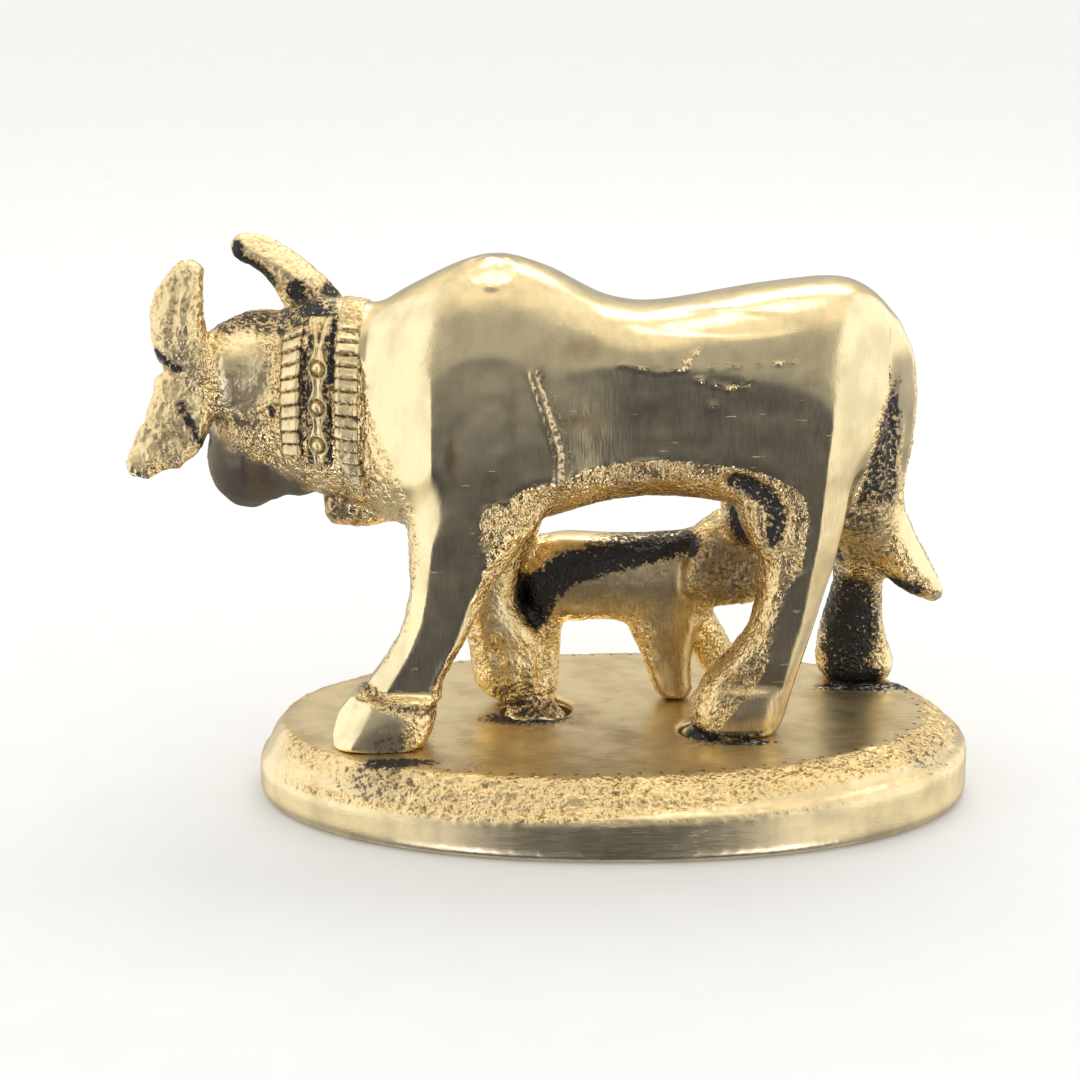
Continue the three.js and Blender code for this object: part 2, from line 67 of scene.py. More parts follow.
# The neck's skin at five places: x, near y, far y, bottom z, top z, squareness, narrowing
NECK = (
    (-24.6, -6.9, 6.2, 31.2, 53.6, 2.3, 0.14),
    (-28.1, -6.4, 6.4, 32.0, 54.2, 2.3, 0.12),
    (-31.6, -5.6, 6.8, 33.0, 54.2, 2.3, 0.10),
    (-34.6, -4.6, 7.2, 33.8, 53.0, 2.2, 0.08),
    (-37.6, -3.0, 7.6, 36.0, 51.7, 2.1, 0.0),
)
NECK_MIDDLE = 0.6
# The middle of each band on the neck, and how far its plane is turned
COLLAR_X = -33.5
BEADS_X = -30.4
BREAST_X = -27.3
BAND_TURN = 0.14
# The height below which the widest band drifts back
DRIFT_FROM = 38.5
RIB_HEIGHT = 0.5
BEAD_PITCH = 4.0
BEAD_SHIFT = 1.2
BEAD_RADIUS = 0.64
# Height over the skin at which a band is hidden in the neck
SUNK = -0.5

# Outline of the rim, whose solid has this many sides
PLATE = {"length": 77.4, "width": 50.2, "power": 2.16, "sides": 48}
# The raised oval of the base, the row of punched dots inside its edge, and what lies round the feet
OVAL = {"length": 70.6, "width": 42.8, "power": 2.15, "x": -0.65, "turn": 0.082}
DOT_PITCH = 2.3
DOT_INSET = 0.9
DOT_RADIUS = 0.24
# The way round the oval is stored in shares of this length, and the distance from its edge in
# shares of this range, whose middle is the edge
WAY_SCALE = 400.0
EDGE_SCALE = 4.0
BASE_TOP = 8.2
# Painted shadow round the feet on the base, as (x, y, reach along x, reach along y)
HOOF_SHADES = (
    (-22.6, -17.0, 3.8, 1.3), (28.5, 8.6, 5.0, 1.7), (-9.6, -2.6, 4.6, 2.2), (13.6, -10.6, 3.4, 1.0),
)
# Pale crumbs of braze on the base, as (x, y, reach)
BRAZE = (
    (-8.6, -5.6, 2.2), (-4.6, -3.4, 1.3), (8.4, -8.4, 1.7), (9.4, -10.4, 1.9), (15.5, -10.9, 1.6),
    (24.6, 8.4, 1.6), (30.0, 7.8, 2.0), (33.4, 9.6, 1.2), (-15.5, -18.4, 1.5), (2.6, -19.6, 1.2),
)

# Lines on the near side, as (x, z): where the polished skin ends at the arch under the belly
LEG_CREST = (
    (-20.3, 9.0), (-19.5, 13.4), (-18.9, 15.3), (-17.8, 17.5), (-16.6, 19.3), (-15.4, 21.5),
    (-14.0, 23.8), (-12.6, 26.0), (-11.2, 28.2), (-10.0, 29.3), (-8.6, 31.5), (-7.1, 34.0),
    (-6.2, 36.6),
)
BELLY_CREST = ((-6.2, 36.6), (-3.8, 37.5), (-1.8, 38.0), (4.5, 38.7), (10.8, 38.1), (16.0, 36.9))
HIND_CREST = (
    (16.0, 36.9), (18.8, 35.6), (20.1, 33.7), (20.3, 31.6), (19.5, 26.8), (17.6, 23.4),
    (16.7, 19.6), (16.1, 16.3), (15.3, 14.4), (13.3, 12.2), (10.6, 9.0),
)
ARCH = LEG_CREST + BELLY_CREST[1:] + HIND_CREST[1:]
# The rough patch between the polished face of the near front leg and the arch
LEG_PATCH = (
    (-15.9, 20.8), (-14.6, 25.0), (-13.5, 28.0), (-14.4, 31.0), (-14.1, 34.2), (-11.3, 34.5),
    (-9.2, 36.0), (-6.6, 36.1),
) + LEG_CREST[11:4:-1]
# The rough strip down the chest and the front of that leg
CHEST_STRIP = (
    (-26.5, 46.0), (-25.6, 43.0), (-23.4, 38.2), (-21.2, 33.2), (-20.7, 28.0), (-21.8, 21.0),
    (-24.2, 16.4), (-32.0, 16.0), (-32.0, 46.0),
)
# The ridge of flash on the flank
FLASH_LINE = ((-8.8, 48.2), (-7.3, 43.4), (-6.2, 39.7), (-6.3, 36.2))
# The groove over the near front hoof
FETLOCK_LINE = ((-26.8, 14.3), (-24.5, 13.3), (-21.9, 12.7), (-18.6, 12.2))
# A crease in the rough foot of the far front leg
FOIL_LINE = ((-9.9, 18.6), (-8.4, 16.0), (-6.4, 12.8))
# The black hollow inside the near hind leg
HOLLOW_LINE = ((12.6, 35.9), (15.6, 34.7), (16.9, 32.6), (16.6, 30.2))
# Scratches on the flank
SCRATCHES = (
    ((0.2, 48.8), (4.4, 47.9), (7.0, 48.3), (8.4, 50.0)),
    ((7.0, 49.0), (9.0, 48.4), (18.6, 48.9)),
    ((8.5, 47.1), (10.9, 46.3), (14.0, 46.4), (13.7, 47.2)),
    ((9.7, 44.4), (11.2, 44.0)),
)
# A long brown painted reflection across the flank
REFLECTION_LINE = ((-5.0, 42.4), (0.5, 43.4), (6.4, 45.2))
# The black band along the calf, and the smooth brown side below it
CALF_BAND = ((8.6, 26.2), (4.0, 25.6), (-1.3, 24.7), (-5.2, 23.4), (-7.8, 21.3), (-9.2, 18.4))
CALF_SIDE = (
    (-6.8, 21.5), (-1.3, 23.4), (4.0, 24.3), (8.4, 25.0), (9.2, 19.5), (8.4, 8.2), (4.3, 8.2),
    (4.6, 16.6), (3.0, 18.4), (-5.9, 18.2),
)

# Lines on the head, as (x, z): the fold of the near ear, the crease behind it, the notch between
# that ear and the horn over it, and the groove of that horn
EAR_FOLD = ((-50.2, 41.4), (-48.4, 39.2), (-47.4, 36.6))
EAR_CREASE = ((-46.0, 43.2), (-44.9, 41.0), (-43.6, 38.6))
HORN_NOTCH = ((-48.6, 48.9), (-46.0, 47.2))
HORN_GROOVE = ((-46.0, 56.4), (-46.9, 49.8))
# Flats on the two horns and the near ear: centre and reach, a point of each, its facing
HEAD_FACETS = (
    ((-36.6, 3.0, 57.8, 5.0, 4.0, 4.0), (-36.2, 3.3, 58.2), (0.3, -0.62, 0.72)),
    ((-46.8, -3.2, 52.8, 2.6, 3.0, 5.0), (-47.0, -3.4, 52.6), (-0.38, -0.87, 0.3)),
    ((-48.8, -3.6, 40.4, 3.6, 3.0, 4.6), (-48.8, -3.75, 40.6), (-0.38, -0.87, 0.3)),
)

# Places that several masks share, as (centre, radii): the calf's head, and the web of metal
# between her foreleg and the far front leg
CALF_HEAD = ((12.5, 2.0, 23.0), (4.0, 3.5, 4.0))
WEB = ((-12.0, -2.0, 19.8), (3.2, 3.4, 4.6))
# Painted shade as black spots on the body: in the hollows between the legs, on the far hind leg,
# under the tail, by the calf's head and where the hooves meet the base, as (strength, centre, radii)
BODY_SHADE_SPOTS = (
    (0.82, (26.6, 9.5, 15.5), (3.2, 4.0, 6.4)),
    (0.9, (27.0, 9.0, 9.0), (3.6, 3.0, 1.6)),
    (0.85, (14.0, -1.6, 31.0), (1.7, 3.2, 3.6)),
    (0.3, (11.5, 2.0, 24.0), (3.4, 2.5, 3.4)),
    (0.8, (23.4, 5.0, 23.6), (1.8, 5.0, 3.2)),
    (0.42, (26.4, -2.6, 30.2), (2.6, 3.0, 2.6)),
    (0.28, (26.6, 1.0, 25.6), (3.4, 4.0, 3.0)),
    (0.8, (31.6, 4.0, 21.2), (2.4, 2.4, 1.4)),
    (0.45, (-23.6, -14.6, 9.2), (2.4, 1.0, 1.5)),
    (0.5, (-8.5, -1.4, 8.9), (3.6, 2.6, 1.0)),
    (0.8, (9.4, -8.6, 8.4), (2.6, 2.2, 0.9)),
)
# Painted shade as dull spots: on the calf's head, the near front hoof and below the tail
DULL_SHADE_SPOTS = (
    (0.55, *CALF_HEAD),
    (0.4, (-24.6, -14.2, 10.4), (2.4, 1.5, 2.4)),
    (0.35, (26.5, -0.5, 27.0), (3.4, 4.5, 4.4)),
)
# Black spots of the head: the tip of a horn, the nape, and low on the back of the head
HEAD_SPOTS = (
    (0.9, (-40.3, 3.2, 58.6), (0.7, 1.4, 1.1)),
    (0.8, (-33.9, 2.2, 54.6), (1.1, 2.0, 1.2)),
    (0.8, (-31.2, -0.5, 52.9), (2.6, 2.4, 1.1)),
    (0.8, (-29.6, 3.0, 54.4), (1.6, 2.4, 0.9)),
    (0.7, (-36.4, -4.0, 42.6), (0.5, 1.0, 0.8)),
    (0.4, (-40.0, -2.0, 41.2), (4.0, 2.0, 0.8)),
)
# Painted shade on the slope of the base, below the near front hoof and at the right end
BASE_SLOPE_SHADE = (
    (0.36, (-24.5, -17.9, 6.6), (5.6, 2.2, 2.2)),
    (0.3, (32.4, -9.0, 6.6), (3.8, 4.6, 1.8)),
)
# Brown painted reflections on the flank, as (x, z, reach along x, reach along z, strength)
FLANK_REFLECTIONS = (
    (-4.9, 43.0, 3.4, 0.6, 0.8), (-1.5, 42.3, 2.2, 0.4, 0.5), (-17.3, 38.4, 0.7, 3.4, 0.8),
    (-13.2, 36.9, 1.0, 1.1, 0.7), (-3.3, 50.4, 2.6, 1.2, 0.45), (14.0, 45.2, 4.5, 0.5, 0.35),
    (-11.0, 44.0, 0.5, 3.6, 0.4), (7.0, 40.6, 4.4, 0.8, 0.4), (20.0, 47.0, 1.3, 1.0, 0.4),
)

# Lumps of metal in the two holes of the base: x, y, z, radius
HOLE_LUMPS = (
    (-10.8, 0.0, 7.7, 1.3), (-9.9, -1.1, 7.5, 1.45), (-8.4, -1.5, 7.9, 1.5), (-6.9, -1.0, 7.6, 1.4),
    (-6.1, 0.3, 7.4, 1.3), (8.9, -7.3, 7.5, 1.5), (8.3, -5.6, 7.4, 1.3), (10.4, -8.2, 7.6, 1.4),
)

# How deep the near side was ground, as (z, depth): by the front leg and by the hind leg
GROUND_FRONT = ((14.0, 11.4), (22.0, 11.05), (31.0, 10.75), (36.0, 10.5), (43.0, 10.13), (50.0, 9.45))
GROUND_REAR = ((14.0, 9.35), (22.0, 9.0), (31.0, 8.75), (43.0, 8.5), (50.0, 8.4))
# The upright edges of the ground face, as (z, x), and the slope of the facets beyond them
SHOULDER_EDGE = ((13.4, -24.6), (18.0, -21.9), (21.6, -20.4), (28.3, -19.5), (31.4, -19.3))
SHOULDER_SLOPE = 0.55
RUMP_EDGE = ((13.4, 18.6), (20.0, 19.6), (30.0, 21.4), (42.0, 22.6), (50.0, 22.7))
RUMP_SLOPE = 0.58
# The flat down the side of the tail: its facing, and its front edge as (z, x)
TAIL_FACING = (0.42, -0.907, 0.03)
TAIL_EDGE = ((34.0, 30.6), (38.0, 30.4), (42.0, 30.0), (46.0, 29.4))
# Where the facet on the rump ends and the rough channel beside the tail begins, as (z, x)
CHANNEL_EDGE = ((22.3, 22.6), (33.6, 25.6), (43.0, 27.8), (48.0, 29.2))


# Numbers and meshes


def ease(low, high, value):
    """0 below low and 1 above high, with a smooth step between."""
    t = np.clip((value - low) / (high - low), 0.0, 1.0)
    return t * t * (3.0 - 2.0 * t)


def fade(low, high, value):
    """1 below low and 0 above high, with a smooth step between."""
    return 1.0 - ease(low, high, value)


def bump_at(value, middle, width):
    """A round bump of height 1 at middle."""
    return np.exp(-(((value - middle) / width) ** 2))


def blob(points, centre, radii):
    """1 round centre, falling smoothly to 0 on the ellipsoid of 1.6 times the radii."""
    reach = np.sqrt((((points - np.array(centre)) / np.array(radii)) ** 2).sum(axis=1))
    return fade(0.6, 1.6, reach)


def line_distance(flat, line):
    """Distance of each (x, z) from a line of points."""
    best = np.full(len(flat), 1e9)
    for start, end in zip(line, line[1:]):
        a = np.array(start)
        way = np.array(end) - a
        t = np.clip(((flat - a) @ way) / (way @ way), 0.0, 1.0)
        best = np.minimum(best, np.linalg.norm(flat - a - t[:, None] * way, axis=1))
    return best


def from_line(points, line):
    """Distance of each point from a line of (x, z), seen from the side."""
    return line_distance(points[:, (0, 2)], line)


def deepest(*masks):
    """The largest of several masks at each point."""
    return np.maximum.reduce(masks)


def patches(points, table):
    """The largest at each point of the blobs in a table of (strength, centre, radii)."""
    return deepest(*[share * blob(points, centre, radii) for share, centre, radii in table])


def inside(flat, outline):
    """How far each (x, z) lies inside a closed outline. It is below 0 outside."""
    closed = tuple(outline) + (outline[0],)
    crossings = np.zeros(len(flat), int)
    for (x0, z0), (x1, z1) in zip(closed, closed[1:]):
        spans = (z0 > flat[:, 1]) != (z1 > flat[:, 1])
        rise = z1 - z0 if z1 != z0 else 1e-9
        crossing_x = x0 + (flat[:, 1] - z0) * (x1 - x0) / rise
        crossings += spans & (flat[:, 0] < crossing_x)
    sign = np.where(crossings % 2 == 1, 1.0, -1.0)
    return sign * line_distance(flat, closed)


def grain(points, size, seed):
    """Smooth noise from about -1 to 1, with lumps of about that size."""
    scaled = points / size + seed * 17.3
    return np.array([noise.noise(p) for p in scaled.tolist()])


def cast_grain(points, sharp, size, round_height, round_size, seed):
    """Heights of casting grain: sharp ridges of one size over round lumps of another."""
    ridges = 0.2 - np.abs(grain(points, size, seed))
    return sharp * ridges + round_height * grain(points, round_size, seed + 1)


def vectors(collection, name):
    """One vector of each entry of a mesh's collection, as rows."""
    values = np.empty(len(collection) * 3, np.float32)
    collection.foreach_get(name, values)
    return values.reshape(-1, 3).astype(float)


def points_of(mesh):
    return vectors(mesh.vertices, "co") / MM


def place(mesh, points):
    mesh.vertices.foreach_set("co", (points * MM).astype(np.float32).ravel())
    mesh.update()


def normals_of(mesh):
    return vectors(mesh.vertex_normals, "vector")


def push(mesh, heights):
    """Moves each point along its normal by so many millimetres."""
    points = points_of(mesh)
    place(mesh, points + normals_of(mesh) * heights[:, None])


class Links:
    """The edges of a mesh, for averages over neighbours."""

    def __init__(self, mesh):
        ends = np.empty(len(mesh.edges) * 2, np.int32)
        mesh.edges.foreach_get("vertices", ends)
        self.a, self.b = ends.reshape(-1, 2).T
        self.count = len(mesh.vertices)
        self.share = 1.0 / np.maximum(np.bincount(ends, minlength=self.count), 1)

    def mean(self, values):
        columns = []
        for column in values.T:
            total = np.bincount(self.a, column[self.b], self.count)
            total += np.bincount(self.b, column[self.a], self.count)
            columns.append(total * self.share)
        return np.stack(columns, axis=1)

    def relax(self, values, rate, rounds):
        for _ in range(rounds):
            values = values + rate[:, None] * (self.mean(values) - values)
        return values


def smoothed(mesh, reach, cell):
    """Smooths a mesh over a reach in mm, given for each point, and keeps its size."""
    links = Links(mesh)
    rounds = int(math.ceil((reach.max() / cell) ** 2 * 4.0))
    rate = np.minimum(0.5, 0.5 * (reach / reach.max()) ** 2)
    start = points_of(mesh)
    once = links.relax(start, rate, rounds)
    lost = links.relax(start - once, rate, rounds)
    place(mesh, once + lost)


def store(mesh, **masks):
    """Keeps a number from 0 to 1 for each point of the mesh under each name, for the shader."""
    for name, values in masks.items():
        whole = np.broadcast_to(values, len(mesh.vertices))
        attribute = mesh.attributes.new(name, "FLOAT", "POINT")
        attribute.data.foreach_set("value", np.clip(whole, 0.0, 1.0).astype(np.float32))


def new_object(name, mesh):
    made = bpy.data.objects.new(name, mesh)
    bpy.context.scene.collection.objects.link(made)
    return made


def shade_smooth(mesh):
    mesh.polygons.foreach_set("use_smooth", np.ones(len(mesh.polygons), bool))


@contextmanager
def edited(mesh):
    """Opens a mesh for editing, and writes it back."""
    work = bmesh.new()
    work.from_mesh(mesh)
    yield work
    work.to_mesh(mesh)
    work.free()


def cut_off(mesh, plane_x, keep_right):
    """Cuts a mesh at the turned plane across the neck and closes the cut."""
    with edited(mesh) as work:
        bmesh.ops.remove_doubles(work, verts=work.verts, dist=1e-6)
        bmesh.ops.bisect_plane(
            work,
            geom=work.verts[:] + work.edges[:] + work.faces[:],
            plane_co=Vector((plane_x, NECK_MIDDLE, 0.0)) * MM,
            plane_no=Vector((1.0, -SEAM_TURN, 0.0)).normalized(),
            clear_inner=keep_right,
            clear_outer=not keep_right,
        )
        open_edges = [edge for edge in work.edges if edge.is_boundary]
        bmesh.ops.holes_fill(work, edges=open_edges, sides=0)
        bmesh.ops.triangulate(work, faces=work.faces[:])


def remeshed(name, mesh, cell):
    """A new object whose mesh is the closed mesh in even cells."""
    rough = new_object(name, mesh)
    modifier = rough.modifiers.new("even cells", "REMESH")
    modifier.mode = "VOXEL"
    modifier.voxel_size = cell * MM
    modifier.adaptivity = 0.0
    ready = bpy.data.meshes.new_from_object(
        rough.evaluated_get(bpy.context.evaluated_depsgraph_get())
    )
    rough.modifiers.clear()
    rough.data = ready
    ready.name = name
    ready.materials.clear()
    shade_smooth(ready)
    return rough


def without_low_part(mesh, lowest):
    """Drops the part of a mesh that lies below a height, such as the hoof's tip beside the neck."""
    with edited(mesh) as work:
        low = [vert for vert in work.verts if vert.co.z < lowest * MM]
        bmesh.ops.delete(work, geom=low, context="VERTS")


def past_seam(points):
    """How far each point lies behind the seam across the neck."""
    return points[:, 0] - SEAM_X - SEAM_TURN * (points[:, 1] - NECK_MIDDLE)


def filed(points, where, spot, facing, softness=0.15):
    """Files points flat that stand out of the plane through spot, by the share in where."""
    way = np.array(facing, float)
    way /= np.linalg.norm(way)
    proud = (points - np.array(spot)) @ way
    cut = 0.5 * (proud + np.sqrt(proud**2 + softness**2))
    return points - way * (cut * where)[:, None]


# The neck and its bands


def neck_section(x):
    """The neck's oval at x: middle and half width in y, the same in z, squareness, narrowing."""
    rows = np.array(NECK)[::-1]
    near, far, low, high, power, narrow = [np.interp(x, rows[:, 0], row) for row in rows.T[1:]]
    return (near + far) / 2, (far - near) / 2, (low + high) / 2, (high - low) / 2, power, narrow


def over_neck(points):
    """Height of each point over the neck's skin, and the skin's point below it."""
    x, y, z = points.T
    middle_y, half_y, middle_z, half_z, power, narrow = neck_section(x)
    v = (z - middle_z) / half_z
    half = half_y * (1.0 - narrow * np.clip(v, -1.0, 1.0))
    u = (y - middle_y) / half
    scale = (np.abs(u) ** power + np.abs(v) ** power) ** (-1.0 / power)
    skin = np.column_stack((x, middle_y + half * u * scale, middle_z + half_z * v * scale))
    return np.sign(1.0 - scale) * np.linalg.norm(points - skin, axis=1), skin


def bared_neck(points):
    """Presses the solid's plain bands back into the skin. The necklace piece stands for them."""
    turned = points[:, 0] - BAND_TURN * (points[:, 1] - NECK_MIDDLE)
    height, skin = over_neck(points)
    share = np.zeros(len(points))
    for middle, half in ((COLLAR_X, 1.15), (BEADS_X, 0.95), (BREAST_X, 1.15)):
        share = np.maximum(share, fade(half + 0.3, half + 0.9, np.abs(turned - middle)))
    share *= fade(1.1, 1.7, height)
    share *= ease(0.1, 0.4, height)
    return points + (skin - points) * share[:, None]


def rounded(values, power):
    """A sine or cosine as it runs on a rounded oblong instead of a circle."""
    return np.sign(values) * np.abs(values) ** (2.0 / power)


def way_along(y, z):
    """The way from the first point of a line to each of its points."""
    return np.concatenate(([0.0], np.cumsum(np.hypot(np.diff(y), np.diff(z)))))


def neck_ring(x, count):
    """Points in even steps round the neck at x, their outward directions, and the way round."""
    angles = np.linspace(0.0, 2.0 * math.pi, 721)
    middle_y, half_y, middle_z, half_z, power, narrow = neck_section(x)
    v = rounded(np.sin(angles), power)
    y = middle_y + half_y * (1.0 - narrow * v) * rounded(np.cos(angles), power)
    z = middle_z + half_z * v
    way = way_along(y, z)
    wanted = np.arange(count) / count * way[-1]
    ring = np.stack((np.interp(wanted, way, y), np.interp(wanted, way, z)), axis=1)
    ahead = np.roll(ring, -1, axis=0) - np.roll(ring, 1, axis=0)
    ahead /= np.hypot(*ahead.T)[:, None]
    return ring, np.stack((ahead[:, 1], -ahead[:, 0]), axis=1), way[-1]


def band_mesh(name, middle, width, height_of, drift=0.0, step=0.115):
    """A closed band round the neck. height_of gives its height over the skin, in mm, from the
    way along the band, the way across it and the height. Its lower end drifts back and narrows."""
    across = np.linspace(-width / 2, width / 2, max(int(width / step), 6) + 1)
    length = neck_ring(middle, 8)[2]
    count = int(length / step)
    ways = np.arange(count) / count * length
    sunk = np.full(count, SUNK)
    rows = []
    heights = []
    for v in (None, *across, None):
        beside = v if v is not None else across[-1 if rows else 0]
        flat, out, _ = neck_ring(middle + beside, count)
        height = sunk if v is None else height_of(ways, np.full(count, v), length, flat[:, 1])
        flat = flat + out * height[:, None]
        fallen = np.clip(DRIFT_FROM - flat[:, 1], 0.0, None) * drift
        turned = BAND_TURN * (flat[:, 0] - NECK_MIDDLE)
        x = middle + beside * (1.0 - 0.4 * fallen) + fallen + turned
        rows.append(np.column_stack((x, flat)))
        heights.append(height)
    total = len(rows)
    faces = []
    for r, i in np.ndindex(total, count):
        s = (r + 1) % total
        j = (i + 1) % count
        faces.append((r * count + i, s * count + i, s * count + j, r * count + j))
    mesh = bpy.data.meshes.new(name)
    mesh.from_pydata((np.concatenate(rows) * MM).tolist(), [], faces)
    mesh.validate()
    shade_smooth(mesh)
    return mesh, np.concatenate(heights)


# Materials


class Nodes:
    """Short names for building a node tree."""

    def __init__(self, tree):
        self.tree = tree
        tree.nodes.clear()

    def add(self, kind, **settings):
        node = self.tree.nodes.new(kind)
        for key, value in settings.items():
            setattr(node, key, value)
        return node

    def join(self, source, target):
        self.tree.links.new(source, target)

    def feed(self, socket, value):
        if isinstance(value, bpy.types.NodeSocket):
            self.join(value, socket)
        else:
            socket.default_value = value

    def math(self, operation, *values):
        node = self.add("ShaderNodeMath", operation=operation)
        for socket, value in zip(node.inputs, values):
            self.feed(socket, value)
        return node.outputs[0]

    def times(self, a, b):
        return self.math("MULTIPLY", a, b)

    def plus(self, a, b):
        return self.math("ADD", a, b)

    def minus(self, a, b):
        return self.math("SUBTRACT", a, b)

    def mapped(self, value, low, high, start=0.0, end=1.0):
        node = self.add("ShaderNodeMapRange", interpolation_type="SMOOTHSTEP")
        for socket, entry in zip(node.inputs, (value, low, high, start, end)):
            self.feed(socket, entry)
        return node.outputs[0]

    def mix(self, share, a, b):
        node = self.add("ShaderNodeMix", data_type="RGBA")
        self.feed(node.inputs[0], share)
        self.feed(node.inputs[6], a)
        self.feed(node.inputs[7], b)
        return node.outputs[2]

    def attribute(self, name):
        return self.add("ShaderNodeAttribute", attribute_name=name).outputs["Fac"]

    def noise(self, place_socket, size, detail, stretch=(1.0, 1.0, 1.0)):
        """Noise from 0 to 1 whose lumps are about size mm."""
        mapping = self.add("ShaderNodeMapping")
        self.join(place_socket, mapping.inputs[0])
        mapping.inputs["Scale"].default_value = [s / (size * MM) for s in stretch]
        node = self.add("ShaderNodeTexNoise")
        node.inputs["Scale"].default_value = 1.0
        node.inputs["Detail"].default_value = detail
        self.join(mapping.outputs[0], node.inputs["Vector"])
        return node.outputs["Fac"]

    def bump(self, height, strength, depth, below=None):
        node = self.add("ShaderNodeBump")
        self.feed(node.inputs["Strength"], strength)
        node.inputs["Distance"].default_value = depth * MM
        self.join(height, node.inputs["Height"])
        if below is not None:
            self.join(below, node.inputs["Normal"])
        return node.outputs[0]


def new_material(name):
    """A new material, its nodes and its shader."""
    material = bpy.data.materials.new(name)
    material.use_nodes = True
    n = Nodes(material.node_tree)
    shader = n.add("ShaderNodeBsdfPrincipled")
    n.join(shader.outputs[0], n.add("ShaderNodeOutputMaterial").inputs[0])
    return material, n, shader


# The deep cast colour is painted shade in the pits of the grain; the dull, tarnish and patina colours
# also paint shade where their masks hold it
POLISHED = (0.93, 0.79, 0.49, 1.0)
CLOUDED = (0.75, 0.64, 0.405, 1.0)
CAST_GOLD = (0.92, 0.72, 0.38, 1.0)
CAST_PIT_SHADE = (0.45, 0.29, 0.13, 1.0)
DULL_AND_SHADE = (0.21, 0.18, 0.145, 1.0)
PATINA_AND_SHADE = (0.022, 0.021, 0.023, 1.0)
TARNISH_AND_SHADE = (0.40, 0.27, 0.14, 1.0)
CRUST = (0.62, 0.60, 0.56, 1.0)
# The noises in the brass: the size of their lumps in mm, and their detail
NOISES = {
    "fine": (0.42, 1.0),
    "coarse": (1.05, 1.0),
    "cloud": (5.0, 4.0),
    "hairs": (0.2, 3.0),
    "smears": (2.2, 4.0),
}
EVEN = (1.0, 1.0, 1.0)
# How much each mask adds to the roughness
ROUGHENED = (("rough", 0.02), ("tarnish", 0.1), ("satin", 0.2), ("dull", 0.3))
# Above which noise a nick shows: on the casting, and on the base, which has more of them
NICKS_FROM = ((0.73, 0.77), (0.65, 0.69))


def dotted(n, shade):
    """Small punched dots in a row inside the oval's edge, from the base's own measures."""
    way = n.times(n.attribute("way"), WAY_SCALE / DOT_PITCH)
    step = n.minus(n.math("FRACT", way), 0.5)
    side_way = n.times(step, DOT_PITCH)
    edge = n.times(n.attribute("edge"), EDGE_SCALE)
    out = n.minus(edge, EDGE_SCALE / 2 - DOT_INSET)
    squares = n.plus(n.times(side_way, side_way), n.times(out, out))
    reach = n.math("SQRT", squares)
    dot = n.mapped(reach, DOT_RADIUS * 0.6, DOT_RADIUS * 1.2, 1.0, 0.0)
    return n.mix(n.times(dot, 0.85), shade, PATINA_AND_SHADE)


def brass_skin(n, looks, masks):
    """The metal's colour without its patina and black painted shade: polished, as cast with painted
    shade in the pits of its grain, tarnished and dull, and browned and dulled where shade is painted.
    """
    # The pits of the cast grain are painted darker, as painted shade
    hollow = n.plus(n.times(looks["ridges"], 0.6), n.times(looks["fine"], 0.8))
    cast_colour = n.mix(n.mapped(hollow, 0.6, 0.9), CAST_PIT_SHADE, CAST_GOLD)
    veil = n.mapped(n.plus(looks["cloud"], looks["smears"]), 0.85, 1.25)
    colour = n.mix(masks["rough"], n.mix(veil, POLISHED, CLOUDED), cast_colour)
    uneven = n.mapped(n.plus(looks["cloud"], looks["hairs"]), 0.75, 1.25, 0.35, 1.25)
    mottle = n.times(masks["tarnish"], uneven)
    brown = n.math("MAXIMUM", mottle, n.mapped(masks["dark"], 0.0, 0.6, 0.0, 0.6))
    return n.mix(masks["dull"], n.mix(brown, colour, TARNISH_AND_SHADE), DULL_AND_SHADE)


def patina_and_shade(n, spot, looks, masks):
    """How black each place is, as patina and painted shade: the dark mask, broken up so that it keeps
    to the hollows.
    """
    flecks = n.times(n.minus(n.noise(spot, 0.25, 2.0), 0.5), 1.1)
    hollows = n.times(n.minus(0.66, looks["lumps"]), 2.2)
    broken = n.plus(masks["dark"], n.plus(flecks, hollows))
    return n.times(n.mapped(broken, 0.34, 0.64), n.mapped(masks["dark"], 0.02, 0.14))


def brass_bumps(n, spot, looks, masks, nicks):
    """The finest relief: hairs and nicks on the skin, and grain where the metal is as cast."""
    smooth_share = n.mapped(masks["rough"], 0.0, 0.6, 1.0, 0.0)
    hair_depth = n.times(smooth_share, n.mapped(masks["satin"], 0.0, 1.0, 0.16, 0.5))
    hair_bump = n.bump(looks["hairs"], hair_depth, 0.05)
    nick_bump = n.bump(nicks, n.times(smooth_share, 0.6), 0.03, hair_bump)
    uneven = n.mapped(n.noise(spot, 3.5, 2.0), 0.36, 0.62, 0.45, 1.05)
    cast_depth = n.times(n.mapped(masks["rough"], 0.05, 1.0, 0.0, 1.0), uneven)
    return n.bump(looks["lumps"], cast_depth, 0.62, nick_bump)


